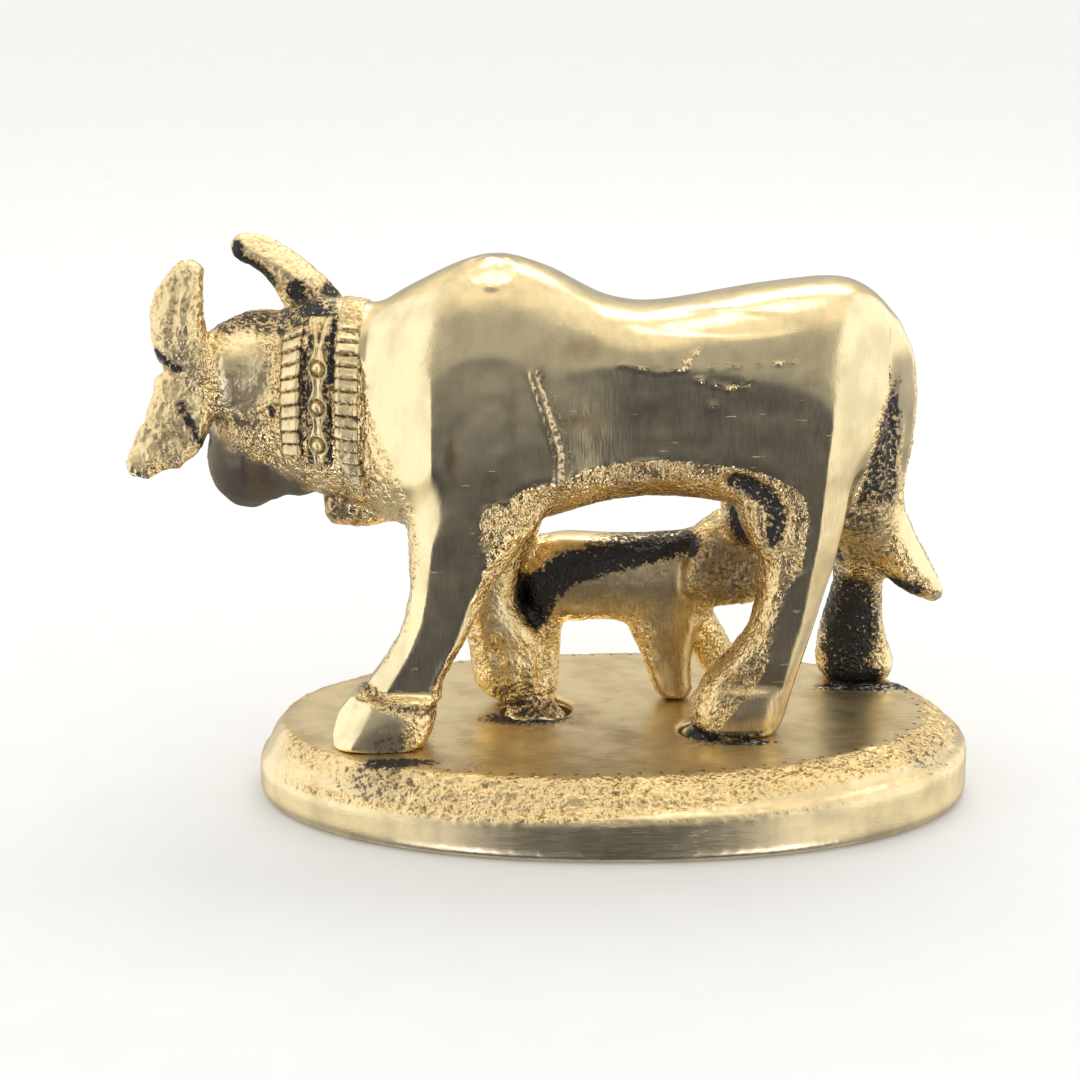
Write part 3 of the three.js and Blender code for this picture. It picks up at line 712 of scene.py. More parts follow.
def brass(name, brush=(1.0, 1.0, 0.12), nick_way=(0.07, 0.5, 1.0), shine=0.15, base=False):
    """Cast brass: polished skin, rough cast grain, black patina and painted shade, by the mesh's own
    masks.
    """
    material, n, shader = new_material(name)
    spot = n.add("ShaderNodeTexCoord").outputs["Object"]
    masks = {mask: n.attribute(mask) for mask in ("rough", "dark", "tarnish", "satin", "dull")}
    ways = {"hairs": brush, "smears": (1.0, 1.0, 0.35)}
    looks = {look: n.noise(spot, *entry, ways.get(look, EVEN)) for look, entry in NOISES.items()}
    wave = n.math("MULTIPLY_ADD", looks["coarse"], 2.0, -1.0)
    looks["ridges"] = n.minus(1.0, n.math("ABSOLUTE", wave))
    sharp = n.times(looks["ridges"], 0.4)
    looks["lumps"] = n.plus(sharp, n.times(looks["fine"], 0.6))
    nicks = n.mapped(n.noise(spot, 0.24, 1.0, nick_way), *NICKS_FROM[base])
    nicks = n.times(nicks, n.mapped(looks["cloud"], 0.52, 0.6))

    black = patina_and_shade(n, spot, looks, masks)
    cover = n.times(black, n.mapped(masks["dark"], 0.15, 0.6, 0.55, 1.0))
    colour = n.mix(cover, brass_skin(n, looks, masks), PATINA_AND_SHADE)
    if base:
        crust = n.times(n.attribute("crust"), n.mapped(looks["fine"], 0.52, 0.6))
        colour = dotted(n, n.mix(crust, colour, CRUST))
    worn = n.mapped(n.plus(looks["cloud"], looks["hairs"]), 0.7, 1.3, shine, shine + 0.12)
    for mask, share in ROUGHENED:
        worn = n.plus(worn, n.times(masks[mask], share))
    worn = n.plus(worn, n.times(black, 0.15))
    n.join(colour, shader.inputs["Base Color"])
    n.join(worn, shader.inputs["Roughness"])
    n.join(n.mapped(black, 0.0, 1.0, 1.0, 0.3), shader.inputs["Metallic"])
    n.join(brass_bumps(n, spot, looks, masks, nicks), shader.inputs["Normal"])
    return material


def floor_material():
    material, n, shader = new_material("pale_floor")
    tone = n.noise(n.add("ShaderNodeTexCoord").outputs["Object"], 9.0, 2.0)
    n.join(n.mix(tone, (0.86, 0.855, 0.84, 1.0), (0.9, 0.895, 0.885, 1.0)), shader.inputs[0])
    shader.inputs["Roughness"].default_value = 0.7
    return material


# The casting


def dress(piece, material, node):
    piece.data.materials.append(material)
    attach(piece, "root")
    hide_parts(node)


def body_reach(points):
    """How far each point of the body is smoothed, in mm."""
    trunk = ease(34.0, 40.0, points[:, 2]) * ease(-27.0, -24.0, points[:, 0])
    trunk *= fade(28.0, 30.5, points[:, 0])
    elbow = blob(points, (-20.6, -9.0, 33.4), (3.2, 4.0, 3.6))
    return np.maximum(0.8 + 0.85 * trunk, 2.1 * elbow)


def along(table, values):
    """The second column of a table at these values of its first."""
    first, second = zip(*table)
    return np.interp(values, first, second)


def softly_along(table, values, reach=3.0):
    """The same, with its corners rounded over that reach."""
    shifts = np.linspace(-reach, reach, 7)
    return sum(along(table, values + shift) for shift in shifts) / len(shifts)


def soft_floor(value, floor, softness):
    """The larger of the two, with a small round at the crossing."""
    over = value - floor
    return floor + 0.5 * (over + np.sqrt(over**2 + softness**2))


def ground_faces(points):
    """Grinds the near side flat, with a facet on the shoulder and another on the rump."""
    x, y, z = points.T
    blend = ease(-9.0, 3.0, x)
    face = -((1.0 - blend) * softly_along(GROUND_FRONT, z) + blend * softly_along(GROUND_REAR, z))
    shoulder = face + SHOULDER_SLOPE * (along(SHOULDER_EDGE, z) - x)
    rump = face + RUMP_SLOPE * (x - along(RUMP_EDGE, z))
    face = np.maximum(face, np.maximum(shoulder, rump))
    ground = soft_floor(y, face, 0.1)
    share = ease(13.3, 13.8, z) * fade(-2.0, 0.0, y) * fade(56.0, 59.0, z)
    points[:, 1] = y + (ground - y) * share
    hoof = fade(12.6, 13.2, z) * fade(-10.0, -8.0, y) * fade(-17.0, -15.0, x)
    points = filed(points, hoof, (-24.8, -14.1, 10.9), (0.1, -1.0, 0.12), 0.15)
    points = filed(points, hoof, (-28.0, -13.0, 10.5), (-0.62, -0.5, 0.5), 0.2)
    tail = ease(28.6, 29.8, x) * fade(3.0, 5.0, y) * ease(31.0, 34.0, z)
    return filed(points, tail, (31.0, -0.25, 42.0), TAIL_FACING, 0.1)


def near_side(points):
    """1 on the side that faces the camera, and 0 on the far side."""
    return fade(-3.0, 0.5, points[:, 1])


def wander_of(points):
    """A wavering in mm that frays the edges of the masks."""
    return 0.45 * grain(points, 1.6, 1) + 0.25 * grain(points, 0.6, 2)


def scratched(points):
    """How strongly each point of the flank lies on one of the broken scratches."""
    nearest = np.minimum.reduce([from_line(points, line) for line in SCRATCHES])
    chipped = np.clip(0.6 + 1.6 * grain(points, 1.1, 9), 0.0, 1.0)
    return near_side(points) * chipped * fade(0.12, 0.34, nearest)


def body_rough(points, normals, wander):
    """Which points of the body are rough as cast."""
    x, y, z = points.T
    flat = points[:, (0, 2)]
    near = near_side(points)
    arch = ease(-0.15, 0.15, inside(flat, ARCH) + wander * 0.3)
    patch = ease(-0.3, 0.4, inside(flat, LEG_PATCH) + wander)
    chest = ease(-0.4, 0.5, inside(flat, CHEST_STRIP) + wander)
    toe = ease(-22.6, -22.0, x + wander) * fade(12.6, 13.2, z) * fade(-17.0, -15.0, x)
    channel = ease(-0.2, 0.2, x - along(CHANNEL_EDGE, z) + 0.2 * wander)
    channel *= fade(46.0, 49.0, z + wander) * ease(-7.5, -7.0, y)
    fetlock = 0.8 * fade(0.5, 1.1, line_distance(flat, FETLOCK_LINE) + 0.6 * wander)
    near_rough = deepest(arch, patch, 0.7 * chest, toe, channel, fetlock, scratched(points))
    far_side = ease(0.35, 0.75, normals[:, 1]) * ease(9.0, 10.0, z)
    side, strip = calf_smooth(points, wander)
    web = 0.5 * blob(points, *WEB)
    smooth_skin = deepest(far_side, 0.72 * side, strip, web, ease(36.0, 40.0, z))
    far_rough = np.maximum(1.0 - smooth_skin, channel)
    rough = np.where(near > 0.5, near_rough, far_rough)
    tuft_face = ease(0.85, 0.93, normals @ np.array((0.75, -0.58, 0.3))) * ease(30.8, 31.6, x)
    rough *= 1.0 - tail_facet(points, normals)
    return rough * (1.0 - tuft_face * fade(29.0, 31.0, z))


def calf_smooth(points, wander):
    """Where the calf is smooth: her brown side, and the polished strip along her back."""
    x, y, z = points.T
    flat = points[:, (0, 2)]
    front = ease(1.0, 1.8, y) * fade(8.0, 10.0, y)
    side = ease(-0.4, 0.4, inside(flat, CALF_SIDE) + 0.6 * wander) * front
    over_band = z - along(CALF_BAND[::-1], x)
    strip = ease(0.6, 1.2, over_band + 0.5 * wander) * ease(-7.4, -6.4, x) * fade(8.0, 9.4, x)
    return side, strip * front * fade(28.6, 29.6, z)


def tail_facet(points, normals):
    """The flat that was filed down the side of the tail."""
    x, _, z = points.T
    facet = ease(0.8, 0.9, normals @ np.array(TAIL_FACING)) * ease(33.0, 35.5, z)
    return facet * fade(47.0, 49.5, z) * ease(-0.5, 0.3, x - along(TAIL_EDGE, z))


def body_dark(points, wander):
    """Where the body is black: patina along the calf's back and in its grooves and hollows, and
    painted shade in the channel beside the tail and in the black spots.
    """
    x, y, z = points.T
    flat = points[:, (0, 2)]
    near = near_side(points)
    half = np.interp(x, (-7.0, 8.0), (1.9, 1.0))
    off_band = line_distance(flat, CALF_BAND) - half + 0.5 * wander
    band = fade(-1.1, 1.2, off_band) * ease(1.0, 1.8, y) * fade(6.0, 8.0, y)
    # Painted shade in the rough channel beside the tail
    channel = ease(0.1, 0.6, x - along(CHANNEL_EDGE, z)) * fade(29.8, 31.0, x + wander)
    channel *= ease(30.5, 33.0, z + wander) * fade(43.0, 47.0, z + wander) * ease(-7.0, -6.0, y)
    behind_flash = line_distance(flat + (-0.6, 0.0), FLASH_LINE)
    return deepest(
        band,
        0.6 * channel,
        0.42 * near * fade(0.2, 1.0, line_distance(flat, FETLOCK_LINE) + 0.5 * wander),
        0.4 * near * fade(0.3, 1.3, behind_flash + 0.6 * wander),
        0.72 * near * fade(0.5, 1.9, line_distance(flat, HOLLOW_LINE) + 0.6 * wander),
        patches(points, BODY_SHADE_SPOTS),
    )


def body_tarnish(points, wander):
    """Where the near side is painted brown: painted reflections in streaks across the flank, painted
    shade under the belly's arch, and browner below the belly and low on the hind leg.
    """
    x, y, z = points.T
    reflections = [0.6 * fade(0.2, 0.8, from_line(points, REFLECTION_LINE) + 0.6 * wander)]
    for centre_x, centre_z, reach_x, reach_z, share in FLANK_REFLECTIONS:
        reach = np.hypot((x - centre_x + wander) / reach_x, (z - centre_z + wander) / reach_z)
        reflections.append(share * fade(0.4, 1.3, reach))
    low = 0.2 * fade(36.0, 40.0, z) * ease(-19.0, -17.0, x)
    hind_hoof = 0.55 * ease(10.0, 12.0, x) * fade(15.0, 18.0, z + wander)
    # Painted shade under the belly's arch
    under_arch = 0.62 * ease(0.0, 0.4, inside(points[:, (0, 2)], ARCH)) * ease(24.0, 30.0, z)
    flank = fade(-6.0, -4.0, y) * deepest(low, hind_hoof, *reflections)
    return np.maximum(flank, under_arch * near_side(points))


def body_relief(points, rough):
    """Heights in mm over the smoothed body: grain, ridges, grooves and wavy polish."""
    x, y, z = points.T
    flat = points[:, (0, 2)]
    near = near_side(points)
    foil = blob(points, (-9.6, -1.0, 13.6), (4.6, 3.2, 5.0))
    belly = 1.0 - 0.5 * ease(0.0, 0.4, inside(flat, ARCH)) * ease(28.0, 32.0, z) * near
    height = rough * belly * cast_grain(points, 0.4, 1.2, 0.12, 1.9, 3)
    height += foil * 1.1 * (0.16 - np.abs(grain(points, 2.6, 8)))
    height += 0.35 * foil * bump_at(line_distance(flat, FOIL_LINE), 0.0, 0.45)
    wavy = 0.05 * grain(points, 7.0, 5) + 0.026 * grain(points, 2.6, 6) + 0.01 * grain(points, 1.2, 7)
    height += (1.0 - rough) * wavy
    height += 0.3 * near * bump_at(line_distance(flat, FLASH_LINE), 0.0, 0.3)
    height += 0.16 * near * bump_at(line_distance(flat, LEG_CREST), 0.0, 0.32) * ease(13.6, 14.2, z)
    height -= 0.4 * near * bump_at(line_distance(flat, FETLOCK_LINE), 0.0, 0.4)
    height -= 1.1 * fade(-8.0, -6.0, y) * bump_at(line_distance(flat, HOLLOW_LINE), 0.0, 1.3)
    height += 0.12 * scratched(points)
    saddle = np.hypot((x - 11.0) / 9.0, (z - 52.6) / 1.3)
    height -= 0.12 * near * fade(0.7, 1.05, saddle)
    scuff = np.hypot((x + 13.2) / 2.7, (z - 57.7) / 1.2)
    worn_ring = bump_at(scuff, 1.0, 0.22) * (0.5 + 1.4 * grain(points, 1.0, 10))
    return height + 0.16 * near * worn_ring


def add_lumps(mesh):
    """Adds the lumps of metal that fill the holes round the spigots."""
    with edited(mesh) as work:
        for x, y, z, reach in HOLE_LUMPS:
            spot = Matrix.Translation(Vector((x, y, z)) * MM) @ Matrix.Diagonal((1.0, 1.0, 0.75, 1.0))
            bmesh.ops.create_icosphere(work, subdivisions=2, radius=reach * MM, matrix=spot)


def cow_body(source):
    """The trunk, the legs, the tail and the calf, from the seam across the neck backwards."""
    mesh = source.data.copy()
    cut_off(mesh, SEAM_X - SEAM_OVERLAP, True)
    add_lumps(mesh)
    cell = BODY_CELL
    piece = remeshed("cow_body_and_calf", mesh, cell)
    mesh = piece.data
    place(mesh, bared_neck(points_of(mesh)))
    smoothed(mesh, body_reach(points_of(mesh)), cell)
    place(mesh, ground_faces(points_of(mesh)))
    points = points_of(mesh)
    normals = normals_of(mesh)
    wander = wander_of(points)
    rough = body_rough(points, normals, wander)
    height = body_relief(points, rough)
    push(mesh, height - SEAM_TUCK * fade(-1.6, -0.4, past_seam(points)))
    side, strip = calf_smooth(points, wander)
    calf_head = blob(points, *CALF_HEAD)
    store(
        mesh,
        rough=rough,
        dark=body_dark(points, wander),
        # Painted browns of the near side, the calf's brown side, and painted shade on the calf's head
        tarnish=deepest(body_tarnish(points, wander), 0.55 * side, 0.6 * calf_head),
        satin=deepest(0.5 * side, 0.5 * strip, 0.9 * blob(points, *WEB)),
        # The tail's filed flat is dulled, and the spots are painted shade
        dull=np.maximum(0.62 * tail_facet(points, normals), patches(points, DULL_SHADE_SPOTS)),
    )
    return piece


def over_jaw(points):
    """How far each point is above the slanting line where the painted shade of the jaw ends."""
    return points[:, 2] - 40.2 + 0.56 * (points[:, 0] + 43.7) + 20.0 * ease(43.6, 45.4, -points[:, 0])


def head_rough(points, wander):
    """How rough each point of the head is, and its two smooth parts: the jaw and a filed patch."""
    x, y, z = points.T
    jaw = fade(-0.8, 0.8, over_jaw(points) + 1.4 * wander) * fade(-32.4, -31.4, x)
    jaw *= fade(5.5, 10.5, y + 2.0 * wander)
    patch = fade(0.7, 1.25, np.hypot((x + 39.4) / 2.7, (z - 46.6) / 4.4) + 0.3 * wander)
    patch *= fade(0.0, 2.0, y)
    filed_horn = ease(1.4, 2.2, y) * ease(54.0, 56.0, z + wander)
    return (1.0 - 0.85 * jaw) * (1.0 - 0.7 * patch) * (1.0 - 0.5 * filed_horn), jaw, patch


def head_dark(points, normals, wander):
    """Where the head is black: in creases, behind the horns and on the nape, with painted shade under
    the far horn.
    """
    x, y, z = points.T
    fold = fade(0.0, 1.0, from_line(points, EAR_FOLD) + 0.8 * wander) * ease(45.4, 46.0, -x)
    # Painted shade on the faces of the far horn that look down
    horn = fade(-0.7, 0.1, normals[:, 2]) * ease(1.4, 2.2, y) * ease(53.6, 55.4, z + wander)
    poll = ease(49.8, 51.2, z + wander) * ease(-43.5, -42.0, x) * fade(-31.0, -29.0, x)
    before_collar = bump_at(x, -35.4, 0.5) * ease(40.0, 42.0, z) * fade(50.0, 52.0, z)
    return deepest(
        0.3 * fold,
        0.65 * fade(0.1, 1.0, from_line(points, EAR_CREASE) + 0.8 * wander),
        0.75 * fade(0.1, 0.9, from_line(points, HORN_NOTCH) + 0.8 * wander),
        0.3 * fade(0.1, 0.7, from_line(points, HORN_GROOVE) + 0.5 * wander),
        0.85 * horn,
        0.48 * poll * fade(0.5, 2.0, y - 1.0),
        0.7 * neck_gaps(points),
        0.32 * before_collar,
        patches(points, HEAD_SPOTS),
    )


def neck_gaps(points):
    """The black gaps between the bands on the near side of the neck."""
    x, y, z = points.T
    turned = x - BAND_TURN * (y - NECK_MIDDLE)
    front_gap = bump_at(turned, -31.95, 0.4) * ease(41.5, 43.5, z) * fade(48.5, 50.5, z)
    rear_gap = bump_at(turned, -28.95, 0.45) * ease(44.5, 46.5, z) * fade(52.5, 54.0, z)
    return np.maximum(front_gap, rear_gap) * fade(-1.0, 1.0, y)


def shape_head(mesh, cell):
    """Fills the notch behind the jaw, smooths the head and files its flats."""
    points = points_of(mesh)
    reach = np.maximum(HEAD_REACH, patches(points, HEAD_SMOOTHING))
    points[:, 2] -= JAW_FILL * blob(points, (-35.2, 1.0, 33.8), (2.0, 4.5, 2.6))
    place(mesh, points)
    smoothed(mesh, reach, cell)
    points = points_of(mesh)
    ear = ease(45.5, 47.0, -points[:, 0]) * fade(44.5, 46.5, points[:, 2])
    points = filed(points, ear, (-49.6, -3.4, 43.0), (-0.917, 0.0, 0.4), 0.4)
    for where, spot, facing in HEAD_FACETS:
        points = filed(points, blob(points, where[:3], where[3:]), spot, facing, 0.3)
    place(mesh, points)


def head_relief(points, rough, wrinkled):
    """Heights in mm over the smoothed head: grain, wrinkles, a groove and a fold."""
    near = fade(0.0, 1.0, points[:, 1])
    on_ear = ease(45.0, 46.0, -points[:, 0])
    height = rough * cast_grain(points, 0.3, 0.9, 0.12, 1.6, 3)
    height += 0.14 * wrinkled * (0.16 - np.abs(grain(points, 1.5, 7)))
    height -= 0.3 * near * bump_at(from_line(points, HORN_GROOVE), 0.0, 0.4)
    height -= 0.3 * near * bump_at(from_line(points, EAR_FOLD), 0.0, 0.8) * on_ear
    return height - SEAM_TUCK * ease(0.4, 1.6, past_seam(points))


def cow_head(source):
    """The head and the front of the neck, as far as the seam."""
    mesh = source.data.copy()
    cut_off(mesh, SEAM_X + SEAM_OVERLAP, False)
    without_low_part(mesh, HEAD_LOWEST)
    cell = HEAD_CELL
    piece = remeshed("cow_head", mesh, cell)
    mesh = piece.data
    place(mesh, bared_neck(points_of(mesh)))
    shape_head(mesh, cell)
    points = points_of(mesh)
    x, _, z = points.T
    normals = normals_of(mesh)
    wander = wander_of(points)
    rough, jaw, patch = head_rough(points, wander)
    wrinkled = fade(-44.5, -43.0, x) * ease(36.0, 38.0, z)
    push(mesh, head_relief(points, rough, wrinkled))
    ear_face = blob(points, (-51.0, -3.6, 38.6), (1.6, 2.6, 3.4))
    nape = blob(points, (-29.0, -0.6, 54.0), (2.2, 3.2, 1.4))
    bell = ease(30.0, 31.0, z) * fade(33.6, 34.6, z) * ease(-31.6, -31.0, x)
    # Painted shade low on the head, along and below the jaw's line
    shade = fade(0.0, 4.0, over_jaw(points)) * fade(-33.0, -31.6, x)
    horn = ease(53.0, 54.5, z) * ease(-43.0, -42.0, x)
    shaded_patch = patch * fade(43.0, 46.0, z - 0.7 * (x + 39.0))
    store(
        mesh,
        rough=rough * (0.95 - 0.45 * deepest(wrinkled, 1.3 * ear_face, 1.9 * nape)),
        dark=np.maximum(head_dark(points, normals, wander), 0.4 * bell),
        tarnish=deepest(0.12 * rough, 0.55 * bell, 0.5 * shade),
        satin=deepest(patch, 0.8 * wrinkled, 0.8 * horn),
        # The jaw is painted dull and dark as painted shade, and so is the lower part of the filed
        # patch
        dull=np.maximum(0.95 * jaw, 0.25 * shaded_patch),
    )
    return piece


def from_top(way, length):
    """The share of the way round the neck between each place and the nape, 0.5 at the throat."""
    share = np.abs(way / length - 0.25)
    return np.minimum(share, 1.0 - share)


def ribbed(pitch, seed, nape, foot):
    """A low band of ribs across its width, which runs out on the nape to that height over the
    skin, and below the height foot."""

    def height(way, across, length, z):
        count = round(length / pitch)
        turn = way / length * count + 0.12 * across
        phase = turn % 1.0
        rib = np.floor(turn)
        uneven = 0.08 * np.sin(rib * 2.7 + seed) + 0.05 * np.sin(rib * 5.3 + seed)
        groove = bump_at(phase, 0.0, 0.09) + bump_at(phase, 1.0, 0.09)
        slant = 0.42 * (phase - 0.5)
        edge = 1.0 - 0.4 * ease(0.8, 1.15, np.abs(across))
        below_nape = ease(0.06, 0.11, from_top(way, length))
        rise = (RIB_HEIGHT - nape + uneven + slant - 0.36 * groove) * edge * below_nape
        return SUNK + (nape + rise - SUNK) * ease(foot - 0.4, foot + 0.4, z)

    return height


def beaded(way, across, length, z):
    """A wavy ribbon with a bead in each cup, which forks below the nape."""
    count = round(length / BEAD_PITCH)
    spacing = length / count
    from_nape = from_top(way, length)
    s = ((way - BEAD_SHIFT) / spacing % 1.0 - 0.5) * spacing
    reach = np.hypot(s, across)
    half = 0.74 + 0.26 * np.cos(2 * math.pi * s / spacing)
    ribbon = 0.52 * fade(half - 0.1, half + 0.14, np.abs(across))
    cup = 0.1 * bump_at(reach, 1.0, 0.13) - 0.44 * bump_at(reach, 0.78, 0.15)
    bead = np.sqrt(np.clip(BEAD_RADIUS**2 - reach**2, 0.0, None)) * 0.95
    leaf = -0.16 * np.exp(-(((np.abs(s) - spacing / 2) / 0.8) ** 2) - (across / 0.2) ** 2)
    beads = (ribbon + cup + bead + leaf) * ease(0.115, 0.13, from_nape)
    prongs = 0.45 * bump_at(np.abs(across), 0.2 + 9.0 * np.clip(0.125 - from_nape, 0.0, None), 0.22)
    prongs *= ease(0.06, 0.075, from_nape) * fade(0.12, 0.135, from_nape)
    full = 0.06 + beads + prongs
    full = SUNK + (full - SUNK) * ease(0.05, 0.07, from_nape)
    return SUNK + (full - SUNK) * ease(36.8, 37.6, z)


def necklace():
    """The two ribbed bands and the beaded ribbon, in one mesh."""
    parts = [
        band_mesh("collar", COLLAR_X, 2.3, ribbed(1.4, 0.0, -0.4, 38.1)),
        band_mesh("beads", BEADS_X, 2.6, beaded),
        band_mesh("breast", BREAST_X, 2.4, ribbed(1.27, 2.0, 0.1, 34.6), drift=0.3),
    ]
    mesh = bpy.data.meshes.new("necklace")
    with edited(mesh) as work:
        for part, _ in parts:
            work.from_mesh(part)
    heights = np.concatenate([height for _, height in parts])
    shade_smooth(mesh)
    points = points_of(mesh)
    push(mesh, 0.06 * grain(points, 0.7, 5) + 0.04 * grain(points, 0.35, 6))
    hollow = fade(0.1, 0.4, heights + 0.1 * wander_of(points))
    crevice = 0.55 * hollow * fade(50.5, 52.5, points[:, 2])
    gaps = 0.8 * neck_gaps(points) * fade(0.3, 0.5, heights)
    store(
        mesh,
        rough=0.12 + 0.7 * hollow,
        dark=np.maximum(crevice, gaps),
        tarnish=0.3 * fade(0.3, 0.6, heights),
        satin=0.6,
        dull=0.0,
    )
    return new_object("necklace", mesh)


# The base


def oval_edge(points):
    """Distance of each point outwards from the oval's upper edge, and the way round it in mm."""
    half_length, half_width, power = OVAL["length"] / 2, OVAL["width"] / 2, OVAL["power"]
    c, s = math.cos(OVAL["turn"]), math.sin(OVAL["turn"])
    x = points[:, 0] - OVAL["x"]
    u = (x * c + points[:, 1] * s) / half_length
    v = (-x * s + points[:, 1] * c) / half_width
    reach = (np.abs(u) ** power + np.abs(v) ** power) ** (1.0 / power)
    spread = np.hypot(u * half_length, v * half_width)
    out = spread * (1.0 - 1.0 / np.maximum(reach, 1e-6))
    angles = np.linspace(-math.pi, math.pi, 721)
    c, s = np.cos(angles), np.sin(angles)
    powers = np.abs(c / half_length) ** power + np.abs(s / half_width) ** power
    radius = 1.0 / powers ** (1.0 / power)
    angle = np.arctan2(v * half_width, u * half_length)
    return out, np.interp(angle, angles, way_along(radius * c, radius * s))


def rounded_rim(points):
    """Moves the rim's points out from the flat sides of the solid to its true outline."""
    power = PLATE["power"]
    half = np.array((PLATE["length"] / 2, PLATE["width"] / 2))
    corners = np.linspace(0.0, 2.0 * math.pi, PLATE["sides"] + 1)
    ring = rounded(np.stack((np.cos(corners), np.sin(corners)), axis=1), power)
    steps = np.linspace(0.0, 1.0, 12, endpoint=False)[:, None]
    chords = np.concatenate([a + steps * (b - a) for a, b in zip(ring, ring[1:])])
    chords = np.concatenate((chords, ring[:1]))
    turns = np.unwrap(np.arctan2(chords[:, 1], chords[:, 0]))
    reach = (np.abs(chords) ** power).sum(axis=1) ** (1.0 / power)
    flat = points[:, :2] / half
    turn = np.arctan2(flat[:, 1], flat[:, 0]) % (2.0 * math.pi)
    size = (np.abs(flat) ** power).sum(axis=1) ** (1.0 / power)
    share = ease(0.9, 0.96, size) * fade(5.6, 6.4, points[:, 2])
    grown = 1.0 + share * (1.0 / np.interp(turn, turns, reach) - 1.0)
    return points * np.stack((grown, grown, np.ones(len(points))), axis=1)


def base_piece(source):
    """The stepped base, with its rough slope, crumbs, painted shadow round the feet, painted shade on
    the slope and the measures for its dots.
    """
    cell = BASE_CELL
    piece = remeshed("oval_base", source.data.copy(), cell)
    mesh = piece.data
    points = rounded_rim(points_of(mesh))
    place(mesh, points)
    smoothed(mesh, np.full(len(points), 0.6), cell)
    points = points_of(mesh)
    normals = normals_of(mesh)
    wander = wander_of(points)
    out, way = oval_edge(points)
    level = ease(0.9, 0.975, normals[:, 2]) * ease(7.2, 7.9, points[:, 2])
    ledge = ease(3.0, 3.4, out) * ease(0.3, 0.6, normals[:, 2])
    slope = ease(0.2, 0.5, normals[:, 2]) * ease(-0.7, 0.1, out + 0.6 * wander) * (1.0 - 0.8 * ledge)
    slope *= 1.0 - 0.85 * fade(-37.0, -33.5, points[:, 0] + 2.0 * wander)
    # Painted shadow round the feet, and pale crumbs of braze
    hoof_shadows = [blob(points, (x, y, BASE_TOP), (wide, deep, 1.0)) for x, y, wide, deep in HOOF_SHADES]
    braze = [blob(points, (x, y, BASE_TOP), (reach, reach * 0.8, 1.2)) for x, y, reach in BRAZE]
    under_hooves = deepest(*hoof_shadows)
    crumbs = deepest(*braze)
    # Painted shade on the slope
    slope_shade = patches(points, BASE_SLOPE_SHADE)
    height = slope * cast_grain(points, 0.4, 1.2, 0.14, 2.4, 6)
    height += level * 0.03 * grain(points, 5.0, 8)
    height += crumbs * 0.14 * (grain(points, 0.8, 9) + 0.3)
    push(mesh, height)
    stains = level * ease(-0.05, 0.25, grain(points, 7.0, 12))
    brown = 0.05 * level + 0.12 + 0.2 * stains
    undotted = fade(-20.0, -19.0, points[:, 0])
    store(
        mesh,
        rough=np.maximum(slope, 0.7 * crumbs),
        dark=deepest(0.72 * under_hooves, slope_shade, 0.05 * slope),
        tarnish=np.maximum(brown, 0.9 * slope_shade + 0.5 * under_hooves),
        satin=0.4,
        dull=0.0,
        crust=crumbs,
        edge=np.maximum(out / EDGE_SCALE + 0.5, undotted),
        way=way / WAY_SCALE,
    )
    return piece


# The setting


# The tints of the studio where it is dark, bright and warm
DARK = (0.80, 0.82, 1.0, 1.0)
BRIGHT = (1.0, 0.99, 0.96, 1.0)
WARM = (1.0, 0.91, 0.74, 1.0)
# Bright patches low in front: degrees to the right, degrees up, half width, half height, brightness
WINDOWS = ((-36.0, -42.0, 11.0, 10.0, 4.0), (40.0, -42.0, 11.0, 10.0, 4.0))
# How much brighter the front of the studio gets over each step of height, as its sine
FRONT_STEPS = ((-0.24, 0.08, 0.27), (0.08, 0.3, 0.08), (0.69, 0.84, 0.62), (0.972, 0.992, 1.1))


def window(n, turn, lift, place, size, soft=5.0):
    """1 inside a soft-edged bright patch of the surroundings."""
    shares = []
    for angle, middle, half in zip((turn, lift), place, size):
        off = n.math("ABSOLUTE", n.minus(angle, math.radians(middle)))
        shares.append(n.mapped(off, math.radians(half - soft), math.radians(half + soft), 1.0, 0.0))
    return n.times(*shares)


def surroundings(n):
    """How bright the studio is in each direction, and its tint."""
    way = n.add("ShaderNodeTexCoord").outputs["Generated"]
    split = n.add("ShaderNodeSeparateXYZ")
    n.join(way, split.inputs[0])
    x, y, z = split.outputs
    turn = n.math("ARCTAN2", x, n.times(y, -1.0))
    lift = n.math("ARCSINE", z)
    front = 0.1
    for low, high, rise in FRONT_STEPS:
        front = n.plus(front, n.mapped(z, low, high, 0.0, rise))
    side = n.mapped(n.math("ABSOLUTE", x), 0.42, 0.56)
    side = n.times(side, n.mapped(z, -0.62, -0.2, 0.35, 1.25))
    back = n.mapped(y, -0.15, 0.15)
    low_back = n.times(back, n.mapped(z, 0.2, 0.6, 0.5, 1.0))
    level = n.math("MAXIMUM", n.math("MAXIMUM", front, side), low_back)
    tint = n.mix(n.mapped(level, 0.14, 0.4), DARK, BRIGHT)
    warm = n.times(n.mapped(level, 0.5, 0.8), n.mapped(level, 1.05, 1.2, 1.0, 0.0))
    tint = n.mix(warm, tint, WARM)
    for turn_at, lift_at, half_turn, half_lift, power in WINDOWS:
        share = window(n, turn, lift, (turn_at, lift_at), (half_turn, half_lift))
        level = n.plus(level, n.times(share, power))
    return level, tint


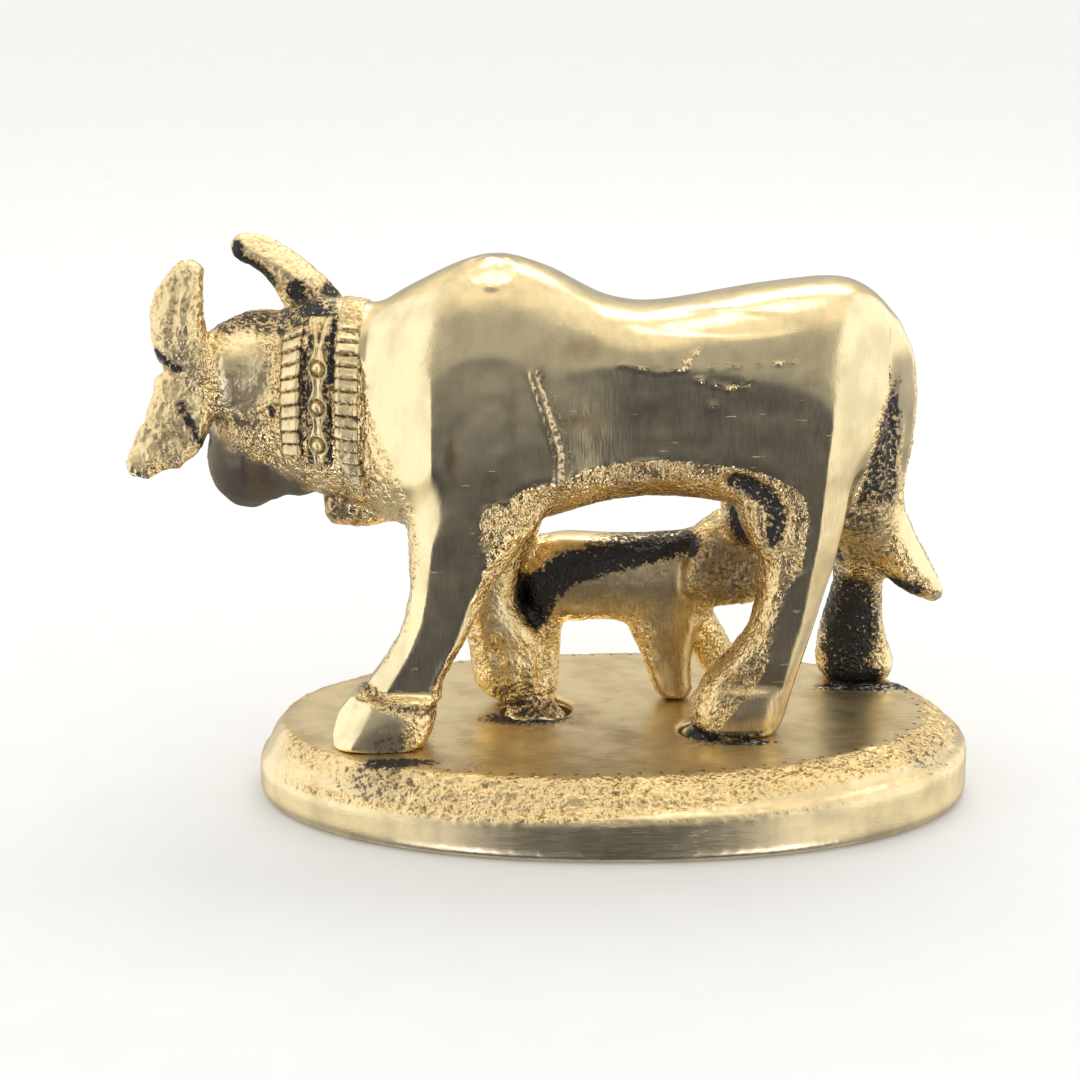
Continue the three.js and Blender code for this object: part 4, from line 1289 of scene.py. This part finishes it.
def world_light():
    """Soft studio surroundings: bright above, behind and at the sides, dark in front."""
    world = bpy.data.worlds.new("studio")
    bpy.context.scene.world = world
    world.use_nodes = True
    n = Nodes(world.node_tree)
    level, tint = surroundings(n)
    rays = n.add("ShaderNodeLightPath").outputs
    plain = n.math("MAXIMUM", rays["Is Camera Ray"], rays["Is Diffuse Ray"])
    shine = n.add("ShaderNodeBackground")
    n.join(tint, shine.inputs[0])
    n.join(level, shine.inputs[1])
    paper = n.add("ShaderNodeBackground")
    paper.inputs[0].default_value = (1.0, 1.0, 1.0, 1.0)
    paper.inputs[1].default_value = 1.04
    both = n.add("ShaderNodeMixShader")
    n.join(plain, both.inputs[0])
    n.join(shine.outputs[0], both.inputs[1])
    n.join(paper.outputs[0], both.inputs[2])
    n.join(both.outputs[0], n.add("ShaderNodeOutputWorld").inputs[0])


def softbox(name, spot, size, power, aim=(0.0, 0.0, 30.0)):
    lamp = bpy.data.lights.new(name, "AREA")
    lamp.shape = "RECTANGLE"
    lamp.size = size[0] * MM
    lamp.size_y = size[1] * MM
    lamp.energy = power
    holder = bpy.data.objects.new(name, lamp)
    holder.location = Vector(spot) * MM
    way = (Vector(aim) - Vector(spot)).normalized()
    holder.rotation_euler = way.to_track_quat("-Z", "Y").to_euler()
    bpy.context.scene.collection.objects.link(holder)


def studio_floor():
    mesh = bpy.data.meshes.new("floor")
    with edited(mesh) as work:
        bmesh.ops.create_grid(work, x_segments=24, y_segments=24, size=3.0)
    floor = new_object("floor", mesh)
    floor.location = (0.0, 0.0, -0.0001)
    floor.visible_glossy = False
    mesh.materials.append(floor_material())


def photo_camera():
    lens = bpy.data.cameras.new("photo_view")
    lens.lens = CAMERA_LENS
    lens.sensor_width = SENSOR
    lens.sensor_fit = "HORIZONTAL"
    lens.clip_start = 0.01
    lens.clip_end = 20.0
    camera = bpy.data.objects.new("photo_view", lens)
    pitch = math.radians(CAMERA_PITCH)
    back = Vector((0.0, -math.cos(pitch), math.sin(pitch))) * CAMERA_DISTANCE
    camera.location = (Vector(CAMERA_TARGET) + back) * MM
    camera.rotation_euler = (math.pi / 2 - pitch, 0.0, 0.0)
    bpy.context.scene.collection.objects.link(camera)
    bpy.context.scene.camera = camera


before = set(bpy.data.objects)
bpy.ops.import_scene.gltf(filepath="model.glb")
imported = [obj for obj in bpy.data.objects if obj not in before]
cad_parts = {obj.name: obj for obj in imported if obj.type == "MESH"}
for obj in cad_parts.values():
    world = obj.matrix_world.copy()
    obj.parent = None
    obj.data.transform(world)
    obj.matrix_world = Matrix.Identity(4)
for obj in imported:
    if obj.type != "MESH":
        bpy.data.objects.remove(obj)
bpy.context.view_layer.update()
photo_camera()
bpy.context.scene.view_settings.view_transform = "Standard"
world_light()
softbox("top_back", (60, 260, 420), (300, 160), 0.4)
studio_floor()

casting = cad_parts["cow_and_calf"]
casting_brass = brass("cast_brass")
dress(cow_body(casting), casting_brass, "cow_and_calf")
dress(cow_head(casting), casting_brass, "cow_and_calf")
dress(necklace(), casting_brass, "cow_and_calf")
base_brass = brass("base_brass", (0.08, 0.5, 1.0), (0.05, 0.6, 1.0), 0.18, base=True)
dress(base_piece(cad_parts["base"]), base_brass, "base")
